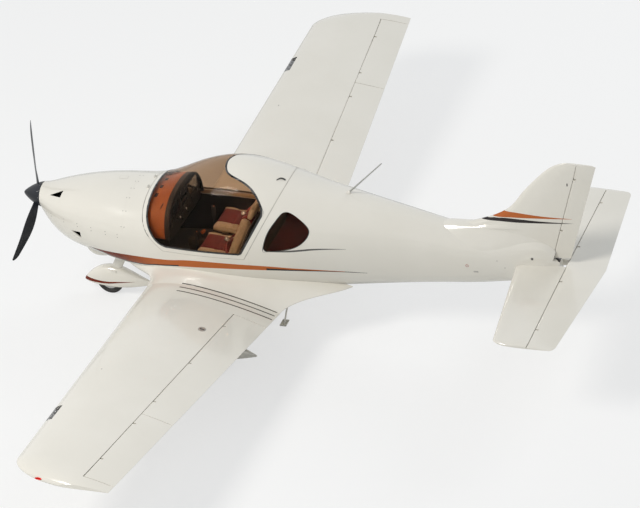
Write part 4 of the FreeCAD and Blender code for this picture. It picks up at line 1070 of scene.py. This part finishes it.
def patch(name, skin, centre, towards, size, corners, material, body, lift):
    # A small flush door or plate laid onto a skin, with rounded corners
    made = begin(bpy.ops.mesh.primitive_grid_add, x_subdivisions=16, y_subdivisions=16, size=1)
    made.scale = (*size, 1)
    bake()
    for point in made.data.vertices:
        share_x, share_y = 2 * point.co.x / size[0], 2 * point.co.y / size[1]
        reach = (abs(share_x) ** corners + abs(share_y) ** corners) ** (1 / corners)
        limit = max(abs(share_x), abs(share_y))
        if reach > 0:
            point.co.x *= limit / reach
            point.co.y *= limit / reach
    made.rotation_mode = "QUATERNION"
    around = Vector(towards).normalized()
    made.rotation_quaternion = (-around).to_track_quat("Z", "Y")
    made.location = centre
    bake()
    for point in made.data.vertices:
        found = on_skin(skin, point.co - around * 0.3, around)
        if found:
            point.co = found[0] + found[1] * lift
    modify(made, "SOLIDIFY", thickness=lift, offset=-1)
    settle(made, name, material, body)


hull_line = finish("hull_line", (0.45, 0.43, 0.39), (0.38, 0.36, 0.33), 0.35, scale=20)
down = (0, 0, -1)
door = at(1.183, 0.063, 0.30)
patch("oil_door_edge", cowl_top, door, down, (0.096, 0.066), 8, hull_line, "airframe", 0.0006)
patch("oil_door", cowl_top, door, down, (0.091, 0.061), 8, plain_gelcoat, "airframe", 0.0012)


# Wing fittings: an alloy fuel filler cap in each wing, a fuel vent, the landing lights'
# reflectors behind dark clear covers, and red and green position lights on the tips.
filler_alloy = finish("filler_alloy", (0.50, 0.49, 0.47), (0.40, 0.39, 0.38), 0.3, scale=40,
                      bump=0.15, bump_scale=400, metallic=0.9)
for side_name, flip in SIDES:
    wing = nodes["wing_" + side_name]
    for label, size, corners, material, lift in (
            ("ring", (0.082, 0.082), 2, hull_line, 0.0007),
            ("cap", (0.066, 0.066), 2, filler_alloy, 0.0018),
            ("tab", (0.046, 0.012), 6, stud_dark, 0.0040)):
        patch("filler_%s_%s" % (label, side_name), wing, at(2.606, flip * 1.50, 0.2), down, size,
              corners, material, "airframe", lift)
    vent_spots = [on_skin(wing, at(1.95, flip * 2.53, 0.2), down)]
    scatter("wing_vent_" + side_name, screw_head(0.006), vent_spots, stud_dark, "airframe")

reflector = finish("reflector", (0.85, 0.85, 0.84), (0.7, 0.7, 0.69), 0.08, scale=50, metallic=1.0)
dark_cover = pane("dark_cover", (0.30, 0.30, 0.31), 0.02)
dress(dark_cover, "landing_lights")
lamp_low, lamp_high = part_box("landing_lights")
for side_name, flip in SIDES:
    for number, span in enumerate((3.285, 3.415)):
        # A dished reflector, let into the bay from in front
        cup = begin(bpy.ops.mesh.primitive_cylinder_add, vertices=32, radius=0.030, depth=0.022)
        only(cup, "FACE", lambda face: face.normal.z > 0.99)
        bpy.ops.mesh.inset(thickness=0.003)
        bpy.ops.mesh.inset(thickness=0.012, depth=-0.010)
        bpy.ops.mesh.inset(thickness=0.008, depth=-0.006)
        mode("OBJECT")
        cup.rotation_euler = (0, -math.pi / 2, 0)
        cup.location = (lamp_high.x - 0.052, flip * span, lamp_low.z + 0.046)
        settle(cup, "landing_lamp_%s_%d" % (side_name, number), reflector, "airframe")

for side_name, flip, tint in (("left", -1, (0.75, 0.02, 0.012)), ("right", 1, (0.02, 0.5, 0.14))):
    # The position light: a domed coloured lens let into the tip's outer edge
    lens = pane("lens_" + side_name, tint, 0.05)
    spot, outward = on_skin(nodes["wing_tips"], at(2.12, flip * 6.0, -0.142), (0, -flip, 0))
    dome = begin(bpy.ops.mesh.primitive_uv_sphere_add, segments=24, ring_count=12, radius=1)
    dome.scale = (0.046, 0.013, 0.012)
    dome.location = spot
    settle(dome, "position_light_" + side_name, lens, "airframe")


# Tail and rear hull fittings: the static port in its red ring, a bare plate, the fasteners
# and bolts of the tail, a mark on the fin, and the rubber pull handle of the canopy.
port_red = finish("port_red", (0.42, 0.06, 0.04), (0.34, 0.05, 0.035), 0.4, scale=80)
handle_black = finish("handle_black", (0.03, 0.028, 0.027), (0.02, 0.02, 0.02), 0.35, scale=30,
                      bump=0.1, bump_scale=300)
for side_name, flip in SIDES:
    port = at(5.037, flip * 0.9, -0.149)
    for label, wide, material, lift in (("static_port_ring_", 0.034, port_red, 0.0006),
                                        ("static_port_", 0.024, plain_gelcoat, 0.0009)):
        patch(label + side_name, rear_hull, port, (0, -flip, 0), (wide, wide), 2, material,
              "airframe", lift)
patch("blank_plate", rear_hull, at(5.12, -0.9, -0.226), (0, 1, 0), (0.050, 0.022), 8, hull_line,
      "airframe", 0.0006)
tail_spots = [on_skin(rear_hull, at(station, -0.9, height), (0, 1, 0))
              for station, height in ((5.352, -0.071), (5.426, -0.158), (5.037, -0.149))]
tail_spots = [spot for spot in tail_spots if spot]
scatter("tail_fasteners", screw_head(0.0045), tail_spots, stud_dark, "airframe")
frame_skin = nodes["canopy_frame"]
line = []
for station, side in ((3.030, -0.150), (3.050, -0.128), (3.085, -0.112), (3.118, -0.118)):
    found = on_skin(frame_skin, at(station, side, 1.2), (0, 0, -1))
    line.append(found[0] + Vector((0, 0, 0.012)))
for number in (0, -1):
    line[number] -= Vector((0, 0, 0.012))
strap("canopy_handle", line, 0.016, handle_black, "canopy", 0.009, (0.5, 1, 0))
for side_name, flip in SIDES:
    inwards = (0, -flip, 0)
    spot = (on_skin(nodes["fin"], at(5.712, flip * 0.9, -0.020), inwards)
            or on_skin(rear_hull, at(5.712, flip * 0.9, -0.029), inwards))
    scatter("tail_bolt_" + side_name, screw_head(0.013), [spot], handle_black, "airframe")
patch("fin_mark", nodes["fin"], at(6.11, -0.5, 0.86), (0, 1, 0), (0.011, 0.034), 4, handle_black,
      "airframe", 0.0006)


# Pane corners: cream gussets bonded over the sharp corners of the panes, each with the
# black border carried round its curve.
def gusset(name, skins, flip, centre, aim, spread, inner, radius, material, body, lift):
    # A plate bounded by a curve inside and by the pane's two edges outside
    made = begin(bpy.ops.mesh.primitive_grid_add, x_subdivisions=16, y_subdivisions=4, size=1)
    for point in made.data.vertices:
        turn = 2 * point.co.x * spread
        edge = radius / math.cos(spread - abs(turn)) - 0.001 if inner >= radius else radius
        reach = inner + (point.co.y + 0.5) * (edge - inner)
        start = at(centre[0] + math.cos(aim + turn) * reach, flip * 0.9,
                   centre[1] + math.sin(aim + turn) * reach)
        hits = [on_skin(skin, start, (0, -flip, 0)) for skin in skins]
        spot, outward = [hit for hit in hits if hit][0]
        point.co = spot + outward * lift
    modify(made, "SOLIDIFY", thickness=lift * 0.6, offset=-1)
    only(made, "FACE")
    bpy.ops.mesh.normals_make_consistent(inside=False)
    settle(made, name, material, body)


canopy_skins = (nodes["canopy_glass"], nodes["canopy_frame"])
quarter_skins = (nodes["quarter_windows"], nodes["fuselage_rear"])
for label, skins, body_name, centre, aim, spread, radius, border in (
        ("rear", canopy_skins, "canopy", (2.848, 0.374), -0.010, 0.501, 0.100, 0.021),
        ("sill", canopy_skins, "canopy", (2.658, -0.026), -1.043, 0.528, 0.070, 0.021),
        ("quarter", quarter_skins, "airframe", (2.9865, 0.004), -2.431, 0.880, 0.040, 0.008)):
    for side_name, flip in SIDES:
        gusset("%s_gusset_%s" % (label, side_name), skins, flip, centre, aim, spread,
               radius, radius, plain_gelcoat, body_name, 0.0022)
        gusset("%s_curve_%s" % (label, side_name), skins, flip, centre, aim, spread,
               radius - border, radius, black_border, body_name, 0.0018)


# Aerial: a tapered glass-fibre whip in a moulded foot, raked back from the rear hull.
whip_grey = finish("whip_grey", (0.40, 0.40, 0.37), (0.30, 0.30, 0.28), 0.4, scale=30, bump=0.1,
                   bump_scale=300)
rake = Vector((0.7, 0, 0.71)).normalized()
rake_angle = math.atan2(rake.x, rake.z)
whip_foot = at(3.752, 0, 0.4615)
whip_length = 0.561
whip = begin(bpy.ops.mesh.primitive_cone_add, vertices=24, radius1=0.0095, radius2=0.0055,
             depth=whip_length, location=whip_foot + rake * whip_length / 2,
             rotation=(0, rake_angle, 0))
only(whip, "FACE", lambda face: face.normal.z > 0.6 and face.center.z > 1.9)
bpy.ops.mesh.inset(thickness=0.002)
settle(whip, "aerial_whip", whip_grey, "airframe")
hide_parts("aerial")
foot_piece = begin(bpy.ops.mesh.primitive_cone_add, vertices=24, radius1=0.026, radius2=0.0125,
                   depth=0.030, location=whip_foot + rake * 0.010,
                   rotation=(0, rake_angle * 0.6, 0))
modify(foot_piece, "BEVEL", width=0.002, segments=2)
settle(foot_piece, "aerial_foot", plain_gelcoat, "airframe")


# Landing gear: treaded tyres on cast wheels that are bolted together through their rims.
# Each wheel turns on its axle inside its spat.
tyre_rubber = finish("tyre_rubber", (0.032, 0.031, 0.030), (0.018, 0.018, 0.018), 0.78, scale=20,
                     spread=0.12, bump=0.35, bump_scale=260)
wheel_cast = finish("wheel_cast", (0.66, 0.66, 0.65), (0.5, 0.5, 0.5), 0.34, scale=18, bump=0.1,
                    bump_scale=200, metallic=0.9)
dress(wheel_cast, "main_left_rim", "main_right_rim", "nose_rim")


def tyre(name, node, body_name):
    # Half a tyre's outline, with three grooves round its tread, spun about the axle
    low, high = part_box(node)
    centre = (low + high) / 2
    radius, half = (high.z - low.z) / 2, (high.y - low.y) / 2
    bead = radius * 0.52
    tread = []
    for across, sunk in ((-0.62, 0), (-0.5, 0), (-0.49, 1), (-0.43, 1), (-0.42, 0), (-0.06, 0),
                         (-0.05, 1), (0.05, 1), (0.06, 0), (0.42, 0), (0.43, 1), (0.49, 1),
                         (0.5, 0), (0.62, 0)):
        drop = 0.006 * sunk + 0.018 * abs(across) ** 3
        tread.append((across * half, radius - drop))
    sides = [(half * 0.72, radius * 0.965), (half * 0.9, radius * 0.91), (half, radius * 0.80),
             (half * 0.98, radius * 0.70), (half * 0.86, radius * 0.60), (half * 0.74, bead)]
    points = [(-y, z) for y, z in reversed(sides)] + tread + sides
    made = begin(bpy.ops.mesh.primitive_plane_add, size=1)
    only(made, "VERT")
    bpy.ops.mesh.delete(type="VERT")
    mode("OBJECT")
    made.data.vertices.add(len(points))
    for vertex, (y, z) in zip(made.data.vertices, points):
        vertex.co = (0, y, z)
    made.data.edges.add(len(points))
    for number, edge in enumerate(made.data.edges):
        edge.vertices = (number, (number + 1) % len(points))
    only(made, "VERT")
    bpy.ops.mesh.spin(steps=72, angle=math.tau, center=(0, 0, 0), axis=(0, 1, 0))
    bpy.ops.mesh.select_all(action="SELECT")
    bpy.ops.mesh.remove_doubles(threshold=0.0001)
    bpy.ops.mesh.normals_make_consistent(inside=False)
    mode("OBJECT")
    made.location = centre
    settle(made, name, tyre_rubber, body_name, 50)
    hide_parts(node)
    return centre, radius


for name, node, body_name in (("left_tyre", "main_left_tyre", "main_wheel_left"),
                              ("right_tyre", "main_right_tyre", "main_wheel_right"),
                              ("front_tyre", "nose_tyre", "nose_wheel")):
    centre, radius = tyre(name, node, body_name)
    low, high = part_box(node.replace("tyre", "rim"))
    spots = []
    for flip in (-1, 1):
        face_side = centre.y + flip * (high.y - low.y) / 2
        for number in range(6):
            angle = math.tau * number / 6
            ring = Vector((math.cos(angle), 0, math.sin(angle))) * radius * 0.30
            spots.append((Vector((centre.x, face_side, centre.z)) + ring, (0, flip, 0)))
    scatter(name + "_bolts", screw_head(0.006), spots, screw_steel, body_name)
